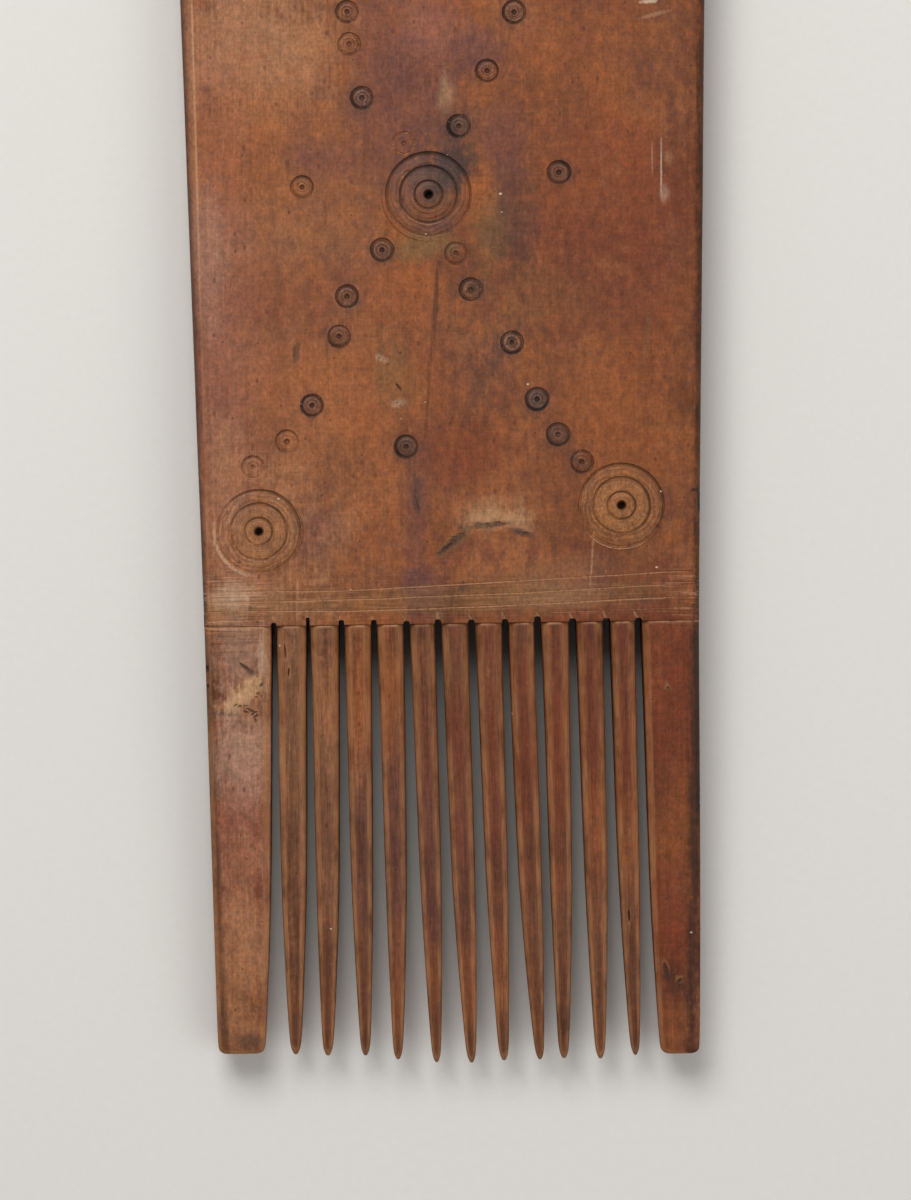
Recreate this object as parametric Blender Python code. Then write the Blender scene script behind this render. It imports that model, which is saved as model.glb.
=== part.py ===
"""A flat wooden comb with coarse teeth at one end and fine teeth at the other.

Metres, +Z up. The comb lies on its back: X runs across it, Y along it, with the
coarse teeth towards -Y and the fine teeth towards +Y, and Z through its thickness.
The origin is under the middle of the panel, on the surface that the comb lies on.

The real comb is sawn from one board. Each tooth and guard is a piece of its own here,
which meets the panel face to face along the incised line at the roots of the teeth.
"""
import math

import bmesh
import bpy
from mathutils import Matrix, Vector

MM = 0.001

# The board: its thickness, and how far it reaches from the panel's middle
THICKNESS = 11.0 * MM
COARSE_PANEL_REACH = 60.1 * MM
FINE_PANEL_REACH = 60.1 * MM
COARSE_TOOTH_LENGTH = 61.3 * MM
FINE_TOOTH_LENGTH = 50.0 * MM

# Widths across the board, from the coarse end to the fine end
COARSE_END_WIDTH = 67.4 * MM
COARSE_ROOT_WIDTH = 69.4 * MM
CENTRE_WIDTH = 72.3 * MM
FINE_ROOT_WIDTH = 75.2 * MM
FINE_END_WIDTH = 76.6 * MM

# Chamfers of the two long edges, seen from above, at three places along the panel
LEFT_CHAMFER_COARSE = 0.8 * MM
LEFT_CHAMFER_CENTRE = 1.4 * MM
LEFT_CHAMFER_FINE = 2.0 * MM
RIGHT_CHAMFER_COARSE = 0.8 * MM
RIGHT_CHAMFER_CENTRE = 0.9 * MM
RIGHT_CHAMFER_FINE = 1.1 * MM

# The line incised across both faces at the roots of the teeth
ROOT_LINE_DEPTH = 0.35 * MM
ROOT_LINE_HALF_WIDTH = 0.3 * MM

# Guards: the broad flat-ended tooth at each side
LEFT_GUARD_ROOT_WIDTH = 9.45 * MM
LEFT_GUARD_END_WIDTH = 6.7 * MM
RIGHT_GUARD_ROOT_WIDTH = 8.1 * MM
RIGHT_GUARD_END_WIDTH = 5.25 * MM
FINE_GUARD_ROOT_WIDTH = 7.2 * MM
FINE_GUARD_END_WIDTH = 6.0 * MM
GUARD_CORNER_RADIUS = 1.1 * MM
GUARD_CORNER_STEPS = 3
GUARD_NARROWING_SHARES = ((0.3, 0.22), (0.64, 0.47), (0.82, 0.73))
LEFT_GUARD_REACH_SHARE = 0.981
RIGHT_GUARD_REACH_SHARE = 0.995
FINE_GUARD_REACH_SHARE = 0.995

# Coarse teeth and the slits between them
COARSE_TOOTH_COUNT = 11
COARSE_SLIT_WIDTH = 0.76 * MM
SLIT_PLACE_SHARES = (0.0, 0.06, 0.04, 0.02, 0.0, -0.06, -0.05, -0.03, -0.06, -0.01, 0.01, -0.015)
SLIT_WIDTH_SHARES = (0.89, 0.57, 0.89, 0.91, 0.96, 1.07, 1.07, 1.0, 1.09, 1.15, 1.2, 1.09)
TOOTH_LEAN_SHARES = (-0.02, -0.05, 0.07, 0.06, 0.25, 0.31, 0.265, 0.35, 0.05, 0.1, 0.145)
TOOTH_REACH_SHARES = (0.985, 0.989, 0.99, 1.0, 1.008, 1.01, 1.006, 1.005, 1.003, 1.005, 0.998)

# Fine teeth and the slits between them
FINE_TOOTH_COUNT = 34
FINE_SLIT_WIDTH = 0.5 * MM
FINE_WANDER_SHARE = 0.035
FINE_WANDER_TURNS = 0.382

# A tooth along its length: place, width and thickness as shares of length, root width
# and board thickness. The last row is the blunt end of the rounded tip.
COARSE_TOOTH_SHARES = ((0.14, 0.975, 0.9), (0.5, 0.935, 0.66), (0.64, 0.856, 0.57), (0.82, 0.658, 0.45),
                       (0.965, 0.43, 0.33), (0.988, 0.31, 0.25), (1.0, 0.12, 0.12))
FINE_TOOTH_SHARES = ((0.45, 0.96, 0.68), (0.8, 0.74, 0.46), (0.97, 0.5, 0.34), (1.0, 0.16, 0.16))
GUARD_END_THICKNESS_SHARE = 0.34
COARSE_CHAMFER_START = 0.9 * MM
FINE_CHAMFER_START = 0.8 * MM
TOOTH_CHAMFER_WIDTH_SHARE = 0.26
TOOTH_CHAMFER_DEPTH_SHARE = 0.09
ROOT_CHAMFER_SHARE = 0.2

# Saw cuts that run past the root line into the panel
COARSE_SAW_OVERRUN = 0.8 * MM
FINE_SAW_OVERRUN = 0.5 * MM
SAW_NARROWING_SHARE = 0.8
NICK_LENGTH = 1.1 * MM
NICK_DEPTH = 1.2 * MM
NICK_LEAN_SHARE = 0.6
NICK_START_SHARE = 0.65
NICK_SETBACK_SHARE = 0.8
NICK_TIP_SHARE = 0.15

# Incised ornament: grooves of V section, and drilled dots
GROOVE_DEPTH = 0.28 * MM
GROOVE_SIDES = 4
LARGE_RING_RADII = (1.93 * MM, 3.98 * MM, 5.8 * MM)
LARGE_RING_SEGMENTS = 28
LARGE_DOT_RADIUS = 0.65 * MM
LARGE_DOT_DEPTH = 1.8 * MM
SMALL_RING_RADII = (0.78 * MM, 1.56 * MM)
SMALL_RING_SEGMENTS = 14
SMALL_DOT_RADIUS = 0.36 * MM
SMALL_DOT_DEPTH = 0.7 * MM
DOT_SEGMENTS = 8
DOT_TIP_SHARE = 0.15

# Places of the ornament, as shares of the half width at the centre and of the panel's
# reach on that side of the middle
LARGE_MOTIF_SHARES = ((-0.065, 0.0), (-0.742, -0.78), (0.665, -0.731), (-0.735, 0.8), (0.68, 0.78))
SMALL_MOTIF_SHARES = (
    (-0.157, 0.12), (-0.317, 0.227), (-0.364, 0.353), (-0.37, 0.428), (-0.48, 0.53), (-0.6, 0.61),
    (0.057, 0.158), (0.169, 0.286), (0.277, 0.422), (0.36, 0.515), (0.45, 0.595), (0.555, 0.66),
    (-0.248, -0.128), (-0.386, -0.235), (-0.419, -0.328), (-0.528, -0.488), (-0.627, -0.571), (-0.76, -0.63),
    (0.038, -0.138), (0.094, -0.223), (0.25, -0.348), (0.344, -0.481), (0.423, -0.564), (0.514, -0.628),
    (-0.554, 0.021), (0.442, 0.047), (-0.166, -0.587), (0.1, 0.6))

# Guide lines across the panel: distance from the middle at the left edge, half way and
# the right edge, as shares of the panel's reach. They slant, as scribed by eye.
COARSE_LINE_SHARES = ((0.919, 0.91, 0.885), (0.944, 0.936, 0.915), (0.964, 0.962, 0.945))
FINE_LINE_SHARES = ((0.89, 0.9, 0.912), (0.918, 0.927, 0.936), (0.945, 0.951, 0.956))
LINE_MARGIN = 1.1 * MM

# How far cutters run past the faces that they cut
CUT_OVERRUN = 1.0 * MM
GROOVE_RISE_SHARE = 0.25


def clear_scene() -> None:
    """Remove the objects that the scene holds."""
    for obj in list(bpy.data.objects):
        bpy.data.objects.remove(obj, do_unlink=True)


def new_collection(name: str) -> bpy.types.Collection:
    """Add a collection to the scene."""
    collection = bpy.data.collections.new(name)
    bpy.context.scene.collection.children.link(collection)
    return collection


def wood(name: str, colour: tuple, roughness: float) -> bpy.types.Material:
    """Return a worn, hand-polished wood of one colour."""
    material = bpy.data.materials.new(name)
    material.use_nodes = True
    shader = material.node_tree.nodes["Principled BSDF"]
    shader.inputs["Base Color"].default_value = (*colour, 1.0)
    shader.inputs["Roughness"].default_value = roughness
    shader.inputs["Metallic"].default_value = 0.0
    return material


def add_object(name: str, shape: bmesh.types.BMesh, collection, material=None) -> bpy.types.Object:
    """Turn a finished shape into an object with its faces pointing out."""
    bmesh.ops.recalc_face_normals(shape, faces=shape.faces)
    mesh = bpy.data.meshes.new(name)
    shape.to_mesh(mesh)
    shape.free()
    obj = bpy.data.objects.new(name, mesh)
    collection.objects.link(obj)
    if material is not None:
        mesh.materials.append(material)
    return obj


def loft(shape: bmesh.types.BMesh, sections: list) -> None:
    """Join equal rings of points, one after the other, into a closed body."""
    rings = [[shape.verts.new(point) for point in section] for section in sections]
    for ring, following in zip(rings, rings[1:]):
        for index in range(len(ring)):
            after = (index + 1) % len(ring)
            shape.faces.new((ring[index], ring[after], following[after], following[index]))
    shape.faces.new(list(reversed(rings[0])))
    shape.faces.new(rings[-1])


def bar_section(y: float, left: float, right: float, thickness: float, chamfers: tuple) -> list:
    """Return the eight points of a bar's section, chamfered along its four edges.

    The bar is centred in the board's thickness. chamfers holds the left chamfer's width
    and depth, then the right chamfer's.
    """
    left_width, left_depth, right_width, right_depth = chamfers
    low = (THICKNESS - thickness) / 2
    high = (THICKNESS + thickness) / 2
    return [Vector(point) for point in (
        (left, y, low + left_depth), (left + left_width, y, low),
        (right - right_width, y, low), (right, y, low + right_depth),
        (right, y, high - right_depth), (right - right_width, y, high),
        (left + left_width, y, high), (left, y, high - left_depth))]


def blend(start: float, end: float, share: float) -> float:
    """Return the value a share of the way from start to end."""
    return start + (end - start) * share


class End:
    """One end of the comb: which way it points, and the sizes of its teeth and guards."""

    def __init__(self, name, side, reach, length, root_width, end_width, slit, count, guards):
        self.name = name
        self.side = side
        self.reach = reach
        self.length = length
        self.root_width = root_width
        self.end_width = end_width
        self.slit = slit
        self.count = count
        self.guards = guards
        self.root = side * reach

    def slit_edges(self) -> list:
        """Return the left and right edge of each slit where it meets the root line."""
        left_guard, right_guard = self.guards[0][0], self.guards[1][0]
        pitch = self.pitch()
        start = left_guard - self.root_width / 2
        edges = []
        for index in range(self.count + 1):
            place_share, width_share = self.slit_shares(index)
            left = start + pitch * (index + place_share)
            edges.append((left, left + self.slit * width_share))
        last_left, last_right = edges[-1]
        shift = self.root_width / 2 - right_guard - last_right
        edges[-1] = (last_left + shift, last_right + shift)
        return edges

    def pitch(self) -> float:
        """Return the distance from one slit to the next."""
        left_guard, right_guard = self.guards[0][0], self.guards[1][0]
        return (self.root_width - left_guard - right_guard - self.slit) / self.count

    def fanned(self, x: float) -> float:
        """Return where a place at the root comes to at the tips, between the guards' middles."""
        (left_root, left_end), (right_root, right_end) = self.guards
        root_low = (left_root - self.root_width) / 2
        root_high = (self.root_width - right_root) / 2
        end_low = (left_end - self.end_width) / 2
        end_high = (self.end_width - right_end) / 2
        return blend(end_low, end_high, (x - root_low) / (root_high - root_low))

    def slit_shares(self, index: int) -> tuple:
        """Return how far a slit strays from its place, and its width, as shares."""
        if self.name == "coarse":
            row = index % len(SLIT_PLACE_SHARES)
            return SLIT_PLACE_SHARES[row], SLIT_WIDTH_SHARES[row]
        if index in (0, self.count):
            return 0.0, 1.0
        return FINE_WANDER_SHARE * self.wander(index), 1.0

    def wander(self, index: int) -> float:
        """Return a smooth but uneven value from -1 to 1 for a tooth or slit."""
        return math.sin(math.tau * FINE_WANDER_TURNS * index)

    def tooth_rows(self) -> tuple:
        """Return the rows of shares that shape this end's teeth."""
        return COARSE_TOOTH_SHARES if self.name == "coarse" else FINE_TOOTH_SHARES

    def chamfer_start(self) -> float:
        """Return how far from the root the teeth reach their full chamfer."""
        return COARSE_CHAMFER_START if self.name == "coarse" else FINE_CHAMFER_START

    def lean_and_reach(self, index: int) -> tuple:
        """Return a tooth's sideways lean, in metres at its tip, and its length."""
        if self.name == "coarse":
            row = index % len(TOOTH_LEAN_SHARES)
            return TOOTH_LEAN_SHARES[row] * self.pitch(), TOOTH_REACH_SHARES[row] * self.length
        stray = FINE_WANDER_SHARE * self.wander(index + self.count)
        return stray * self.pitch(), self.length * (1.0 + stray / 2)


def chamfer_pair(width: float, thickness: float, share: float = 1.0) -> tuple:
    """Return a tooth's chamfers, which shrink with its section."""
    across = TOOTH_CHAMFER_WIDTH_SHARE * width * share
    down = TOOTH_CHAMFER_DEPTH_SHARE * thickness * share
    return across, down, across, down


def root_sections(end: End, left: float, right: float, edges: tuple) -> list:
    """Return the two sections that form the lower half of the root line's groove."""
    lip = end.root + end.side * ROOT_LINE_HALF_WIDTH
    return [bar_section(end.root, left, right, THICKNESS - 2 * ROOT_LINE_DEPTH, edges),
            bar_section(lip, left, right, THICKNESS, edges)]


def tooth_shape(end: End, left: float, right: float, lean: float, length: float) -> bmesh.types.BMesh:
    """Return a pointed tooth that starts at the root line and thins towards its tip."""
    width = right - left
    middle = (left + right) / 2
    tip = end.fanned(middle) + lean
    sections = root_sections(end, left, right, chamfer_pair(width, THICKNESS, ROOT_CHAMFER_SHARE))
    start_share = end.chamfer_start() / length
    first_row = end.tooth_rows()[0]
    along = start_share / first_row[0]
    start_row = (start_share, blend(1.0, first_row[1], along), blend(1.0, first_row[2], along))
    for place, width_share, thickness_share in (start_row, *end.tooth_rows()):
        half = width * width_share / 2
        centre = blend(middle, tip, place)
        thickness = THICKNESS * thickness_share
        sections.append(bar_section(end.root + end.side * length * place, centre - half, centre + half,
                                    thickness, chamfer_pair(2 * half, thickness)))
    shape = bmesh.new()
    loft(shape, sections)
    return shape


def guard_shape(end: End, hand: int, root_inner: float, chamfer: float, length: float) -> bmesh.types.BMesh:
    """Return a broad side tooth with a flat end and rounded corners.

    hand is -1 for the left guard and 1 for the right one. The outer edge carries on the
    panel's edge and its chamfer, and the inner edge faces the teeth.
    """
    end_width = end.guards[0 if hand < 0 else 1][1]
    outer_root = hand * end.root_width / 2
    outer_end = hand * end.end_width / 2
    root_width = abs(outer_root - root_inner)
    inner_chamfer = TOOTH_CHAMFER_WIDTH_SHARE * end.pitch()
    corner = GUARD_CORNER_RADIUS

    def section(place, narrowing, inset=0.0, chamfer_share=1.0, sunk=0.0):
        """Return one section, with the corner's inset taken off both edges."""
        edge = blend(outer_root, outer_end, place)
        outer = edge - hand * inset
        inner = edge - hand * (blend(root_width, end_width, narrowing) - inset)
        thickness = THICKNESS * blend(1.0, GUARD_END_THICKNESS_SHARE, place) - inset - sunk
        inner_width = inner_chamfer * chamfer_share
        outer_pair = (chamfer * abs(outer - inner) / root_width, chamfer * thickness / THICKNESS)
        inner_pair = (inner_width, TOOTH_CHAMFER_DEPTH_SHARE * thickness * chamfer_share)
        pairs = (outer_pair + inner_pair) if hand < 0 else (inner_pair + outer_pair)
        y = end.root + end.side * length * place
        return bar_section(y, min(outer, inner), max(outer, inner), thickness, pairs)

    lip_share = ROOT_LINE_HALF_WIDTH / length
    start_share = end.chamfer_start() / length
    sections = [section(0.0, 0.0, 0.0, ROOT_CHAMFER_SHARE, 2 * ROOT_LINE_DEPTH),
                section(lip_share, 0.0, 0.0, ROOT_CHAMFER_SHARE),
                section(start_share, 0.0)]
    sections += [section(place, narrowing) for place, narrowing in GUARD_NARROWING_SHARES]
    for step in range(GUARD_CORNER_STEPS + 1):
        angle = math.radians(90) * step / GUARD_CORNER_STEPS
        place = 1.0 - corner * (1.0 - math.sin(angle)) / length
        sections.append(section(place, place, corner * (1.0 - math.cos(angle))))
    shape = bmesh.new()
    loft(shape, sections)
    return shape


def panel_shape() -> bmesh.types.BMesh:
    """Return the panel before it is cut: a board that widens towards the fine end."""
    coarse_lip = ROOT_LINE_HALF_WIDTH - COARSE_PANEL_REACH
    fine_lip = FINE_PANEL_REACH - ROOT_LINE_HALF_WIDTH
    sunk = THICKNESS - 2 * ROOT_LINE_DEPTH
    coarse_edges = (LEFT_CHAMFER_COARSE, LEFT_CHAMFER_COARSE, RIGHT_CHAMFER_COARSE, RIGHT_CHAMFER_COARSE)
    centre_edges = (LEFT_CHAMFER_CENTRE, LEFT_CHAMFER_CENTRE, RIGHT_CHAMFER_CENTRE, RIGHT_CHAMFER_CENTRE)
    fine_edges = (LEFT_CHAMFER_FINE, LEFT_CHAMFER_FINE, RIGHT_CHAMFER_FINE, RIGHT_CHAMFER_FINE)
    rows = ((-COARSE_PANEL_REACH, COARSE_ROOT_WIDTH, sunk, coarse_edges),
            (coarse_lip, COARSE_ROOT_WIDTH, THICKNESS, coarse_edges),
            (0.0, CENTRE_WIDTH, THICKNESS, centre_edges),
            (fine_lip, FINE_ROOT_WIDTH, THICKNESS, fine_edges),
            (FINE_PANEL_REACH, FINE_ROOT_WIDTH, sunk, fine_edges))
    shape = bmesh.new()
    loft(shape, [bar_section(y, -width / 2, width / 2, thick, edges) for y, width, thick, edges in rows])
    return shape


def face_heights() -> tuple:
    """Return the front and back faces as a height and the way each one faces."""
    return (THICKNESS, 1), (0.0, -1)


def saw_cuts(end: End) -> bmesh.types.BMesh:
    """Return the ends of the saw cuts, which run a little past the root line."""
    overrun = COARSE_SAW_OVERRUN if end.name == "coarse" else FINE_SAW_OVERRUN
    inward = -end.side
    shape = bmesh.new()
    for left, right in end.slit_edges():
        middle = (left + right) / 2
        sections = []
        for y, share in ((end.root - inward * CUT_OVERRUN, 1.0), (end.root, 1.0),
                         (end.root + inward * overrun, SAW_NARROWING_SHARE)):
            half = (right - left) * share / 2
            low, high = -CUT_OVERRUN, THICKNESS + CUT_OVERRUN
            sections.append([Vector(point) for point in (
                (middle - half, y, low), (middle + half, y, low),
                (middle + half, y, high), (middle - half, y, high))])
        loft(shape, sections)
    return shape


def saw_nicks(end: End) -> bmesh.types.BMesh:
    """Return the slanted nicks that the saw left on both faces above each coarse slit."""
    inward = -end.side
    start = end.root + inward * COARSE_SAW_OVERRUN * NICK_SETBACK_SHARE
    tip = end.root + inward * (COARSE_SAW_OVERRUN + NICK_LENGTH)
    shape = bmesh.new()
    for left, right in end.slit_edges():
        width = right - left
        middle = (left + right) / 2
        for height, facing in face_heights():
            rise = height + facing * CUT_OVERRUN
            sections = []
            for y, share, depth, lean in ((start, NICK_START_SHARE, NICK_DEPTH, 0.0),
                                          (tip, NICK_TIP_SHARE, 0.0, -NICK_LEAN_SHARE * width)):
                half = width * share / 2
                floor = height - facing * depth
                sections.append([Vector(point) for point in (
                    (middle + lean - half, y, floor), (middle + lean + half, y, floor),
                    (middle + lean + half, y, rise), (middle + lean - half, y, rise))])
            loft(shape, sections)
    return shape


def guide_lines(end: End, rows: tuple) -> bmesh.types.BMesh:
    """Return the grooves scribed across both faces beside one end's teeth."""
    reach = end.root_width / 2 - LINE_MARGIN
    half = GROOVE_DEPTH * (1.0 + GROOVE_RISE_SHARE)
    shape = bmesh.new()
    for height, facing in face_heights():
        centre = height + facing * GROOVE_DEPTH * GROOVE_RISE_SHARE
        for row in rows:
            sections = []
            for x, share in zip((-reach, 0.0, reach), row):
                y = end.root * share
                diamond = ((x, y - half, centre), (x, y, centre - half),
                           (x, y + half, centre), (x, y, centre + half))
                sections.append([Vector(point) for point in diamond])
            loft(shape, sections)
    return shape


def ring_mesh(radius: float, segments: int) -> bpy.types.Mesh:
    """Return a ring of diamond section, whose lower half cuts a V groove."""
    reach = GROOVE_DEPTH * (1.0 + GROOVE_RISE_SHARE)
    bpy.ops.mesh.primitive_torus_add(major_radius=radius, minor_radius=reach,
                                     major_segments=segments, minor_segments=GROOVE_SIDES)
    ring = bpy.context.object
    mesh = ring.data
    bpy.data.objects.remove(ring)
    return mesh


def motif_places(shares: tuple) -> list:
    """Return the centres of motifs on the front face."""
    places = []
    for across, along in shares:
        reach = COARSE_PANEL_REACH if along < 0 else FINE_PANEL_REACH
        places.append(Vector((across * CENTRE_WIDTH / 2, along * reach, THICKNESS)))
    return places


def rings(shares: tuple, radii: tuple, segments: int) -> bmesh.types.BMesh:
    """Return the ring grooves of one size of motif, at all their places."""
    shape = bmesh.new()
    rise = Vector((0.0, 0.0, GROOVE_DEPTH * GROOVE_RISE_SHARE))
    for radius in radii:
        template = ring_mesh(radius, segments)
        for place in motif_places(shares):
            known = len(shape.verts)
            shape.from_mesh(template)
            shape.verts.ensure_lookup_table()
            bmesh.ops.translate(shape, verts=shape.verts[known:], vec=place + rise)
    return shape


def dots(shares: tuple, radius: float, depth: float) -> bmesh.types.BMesh:
    """Return the pointed drill marks at the centres of one size of motif."""
    shape = bmesh.new()
    slope = radius / depth
    for place in motif_places(shares):
        middle = place + Vector((0.0, 0.0, (CUT_OVERRUN - depth) / 2))
        bmesh.ops.create_cone(shape, cap_ends=True, segments=DOT_SEGMENTS, radius1=radius * DOT_TIP_SHARE,
                              radius2=radius + slope * CUT_OVERRUN, depth=depth + CUT_OVERRUN,
                              matrix=Matrix.Translation(middle))
    return shape


def cut(obj: bpy.types.Object, name: str, shape: bmesh.types.BMesh, cutters) -> None:
    """Cut a shape out of an object and keep the cutter as a hidden wire guide."""
    cutter = add_object(name, shape, cutters)
    cutter.hide_render = True
    cutter.display_type = "WIRE"
    modifier = obj.modifiers.new(name, "BOOLEAN")
    modifier.operation = "DIFFERENCE"
    modifier.solver = "EXACT"
    modifier.object = cutter


def build_panel(coarse: End, fine: End, parts, cutters) -> None:
    """Build the panel with its saw cuts, guide lines, rings and dots."""
    panel = add_object("centre_panel", panel_shape(), parts, wood("panel_wood", (0.30, 0.13, 0.07), 0.5))
    cut(panel, "coarse_saw_cuts", saw_cuts(coarse), cutters)
    cut(panel, "fine_saw_cuts", saw_cuts(fine), cutters)
    cut(panel, "coarse_saw_nicks", saw_nicks(coarse), cutters)
    cut(panel, "coarse_guide_lines", guide_lines(coarse, COARSE_LINE_SHARES), cutters)
    cut(panel, "fine_guide_lines", guide_lines(fine, FINE_LINE_SHARES), cutters)
    cut(panel, "large_rings", rings(LARGE_MOTIF_SHARES, LARGE_RING_RADII, LARGE_RING_SEGMENTS), cutters)
    cut(panel, "small_rings", rings(SMALL_MOTIF_SHARES, SMALL_RING_RADII, SMALL_RING_SEGMENTS), cutters)
    cut(panel, "large_dots", dots(LARGE_MOTIF_SHARES, LARGE_DOT_RADIUS, LARGE_DOT_DEPTH), cutters)
    cut(panel, "small_dots", dots(SMALL_MOTIF_SHARES, SMALL_DOT_RADIUS, SMALL_DOT_DEPTH), cutters)


def build_end(end: End, chamfers: tuple, reach_shares: tuple, parts, materials: tuple) -> None:
    """Build the guards and teeth of one end."""
    tooth_wood, guard_wood = materials
    edges = end.slit_edges()
    sides = ((-1, "left", edges[0][0]), (1, "right", edges[-1][1]))
    for (hand, word, inner), chamfer, share in zip(sides, chamfers, reach_shares):
        shape = guard_shape(end, hand, inner, chamfer, end.length * share)
        add_object(f"{end.name}_guard_{word}", shape, parts, guard_wood)
    for index in range(end.count):
        lean, length = end.lean_and_reach(index)
        shape = tooth_shape(end, edges[index][1], edges[index + 1][0], lean, length)
        add_object(f"{end.name}_tooth_{index + 1:02d}", shape, parts, tooth_wood)


def main() -> None:
    """Build the comb."""
    clear_scene()
    parts = new_collection("comb")
    cutters = new_collection("comb_cutters")
    left_guard = (LEFT_GUARD_ROOT_WIDTH, LEFT_GUARD_END_WIDTH)
    right_guard = (RIGHT_GUARD_ROOT_WIDTH, RIGHT_GUARD_END_WIDTH)
    fine_guard = (FINE_GUARD_ROOT_WIDTH, FINE_GUARD_END_WIDTH)
    coarse = End("coarse", -1, COARSE_PANEL_REACH, COARSE_TOOTH_LENGTH, COARSE_ROOT_WIDTH, COARSE_END_WIDTH,
                 COARSE_SLIT_WIDTH, COARSE_TOOTH_COUNT, (left_guard, right_guard))
    fine = End("fine", 1, FINE_PANEL_REACH, FINE_TOOTH_LENGTH, FINE_ROOT_WIDTH, FINE_END_WIDTH,
               FINE_SLIT_WIDTH, FINE_TOOTH_COUNT, (fine_guard, fine_guard))
    build_panel(coarse, fine, parts, cutters)
    woods = (wood("tooth_wood", (0.27, 0.12, 0.06), 0.5), wood("guard_wood", (0.28, 0.11, 0.06), 0.5))
    build_end(coarse, (LEFT_CHAMFER_COARSE, RIGHT_CHAMFER_COARSE),
              (LEFT_GUARD_REACH_SHARE, RIGHT_GUARD_REACH_SHARE), parts, woods)
    build_end(fine, (LEFT_CHAMFER_FINE, RIGHT_CHAMFER_FINE),
              (FINE_GUARD_REACH_SHARE, FINE_GUARD_REACH_SHARE), parts, woods)


main()
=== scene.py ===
"""An old wooden comb with coarse teeth at one end and fine teeth at the other.

It is sawn and carved from one board, scribed with guide lines and rings, and stained
and polished by long handling. Metres, +Z up: the comb lies on its back with its coarse
teeth towards -Y. Every piece is fitted to the frame node that it stands for.
"""
from __future__ import annotations

import logging
import math
import random
from collections.abc import Callable, Iterator, Sequence
from contextlib import contextmanager
from dataclasses import dataclass, replace
from enum import Enum

import bmesh
import bpy
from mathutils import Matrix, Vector, noise


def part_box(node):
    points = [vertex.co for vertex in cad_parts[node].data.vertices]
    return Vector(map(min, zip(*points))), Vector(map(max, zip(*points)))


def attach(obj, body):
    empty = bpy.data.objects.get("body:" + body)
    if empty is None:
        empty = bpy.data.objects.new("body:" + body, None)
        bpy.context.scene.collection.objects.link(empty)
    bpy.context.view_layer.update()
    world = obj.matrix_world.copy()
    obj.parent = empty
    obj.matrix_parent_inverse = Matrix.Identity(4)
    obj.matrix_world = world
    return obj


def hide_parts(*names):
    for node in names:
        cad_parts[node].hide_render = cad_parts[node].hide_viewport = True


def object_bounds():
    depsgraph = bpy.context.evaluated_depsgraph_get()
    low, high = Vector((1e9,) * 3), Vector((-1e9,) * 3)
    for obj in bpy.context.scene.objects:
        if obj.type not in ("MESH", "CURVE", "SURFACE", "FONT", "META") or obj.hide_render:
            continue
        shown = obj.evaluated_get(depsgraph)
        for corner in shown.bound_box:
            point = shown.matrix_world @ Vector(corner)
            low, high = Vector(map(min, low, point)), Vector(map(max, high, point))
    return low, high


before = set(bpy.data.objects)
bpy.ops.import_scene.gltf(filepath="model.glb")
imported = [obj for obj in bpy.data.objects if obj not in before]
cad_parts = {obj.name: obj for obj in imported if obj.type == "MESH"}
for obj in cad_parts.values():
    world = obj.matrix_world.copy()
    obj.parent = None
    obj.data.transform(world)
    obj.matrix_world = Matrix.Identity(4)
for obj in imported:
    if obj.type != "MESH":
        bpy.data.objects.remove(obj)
CAD_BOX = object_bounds()

LOG = logging.getLogger("comb")
MM = 0.001
BODY = "root"
# Places nearer to each other than this count as one.
ALIKE = 0.004 * MM
# Edges stay crisp beyond these angles, in degrees.
TOOTH_CREASE, PANEL_CREASE = 45.0, 28.0
# Slivers thinner than this are cleaned off a cut, as they can spoil the next one.
SLIVER = 0.0008 * MM
# The height of the front face, in millimetres.
FACE = 11.0
ACROSS, ALONG = Vector((1.0, 0.0, 0.0)), Vector((0.0, 1.0, 0.0))


# The bench


class Hold(Enum):
    """What a stroke of the tool takes hold of."""

    CORNERS = "VERT"
    EDGES = "EDGE"
    FACES = "FACE"


def clear_bench() -> None:
    """Lets go of every object."""
    bpy.ops.object.select_all(action="DESELECT")


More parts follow.
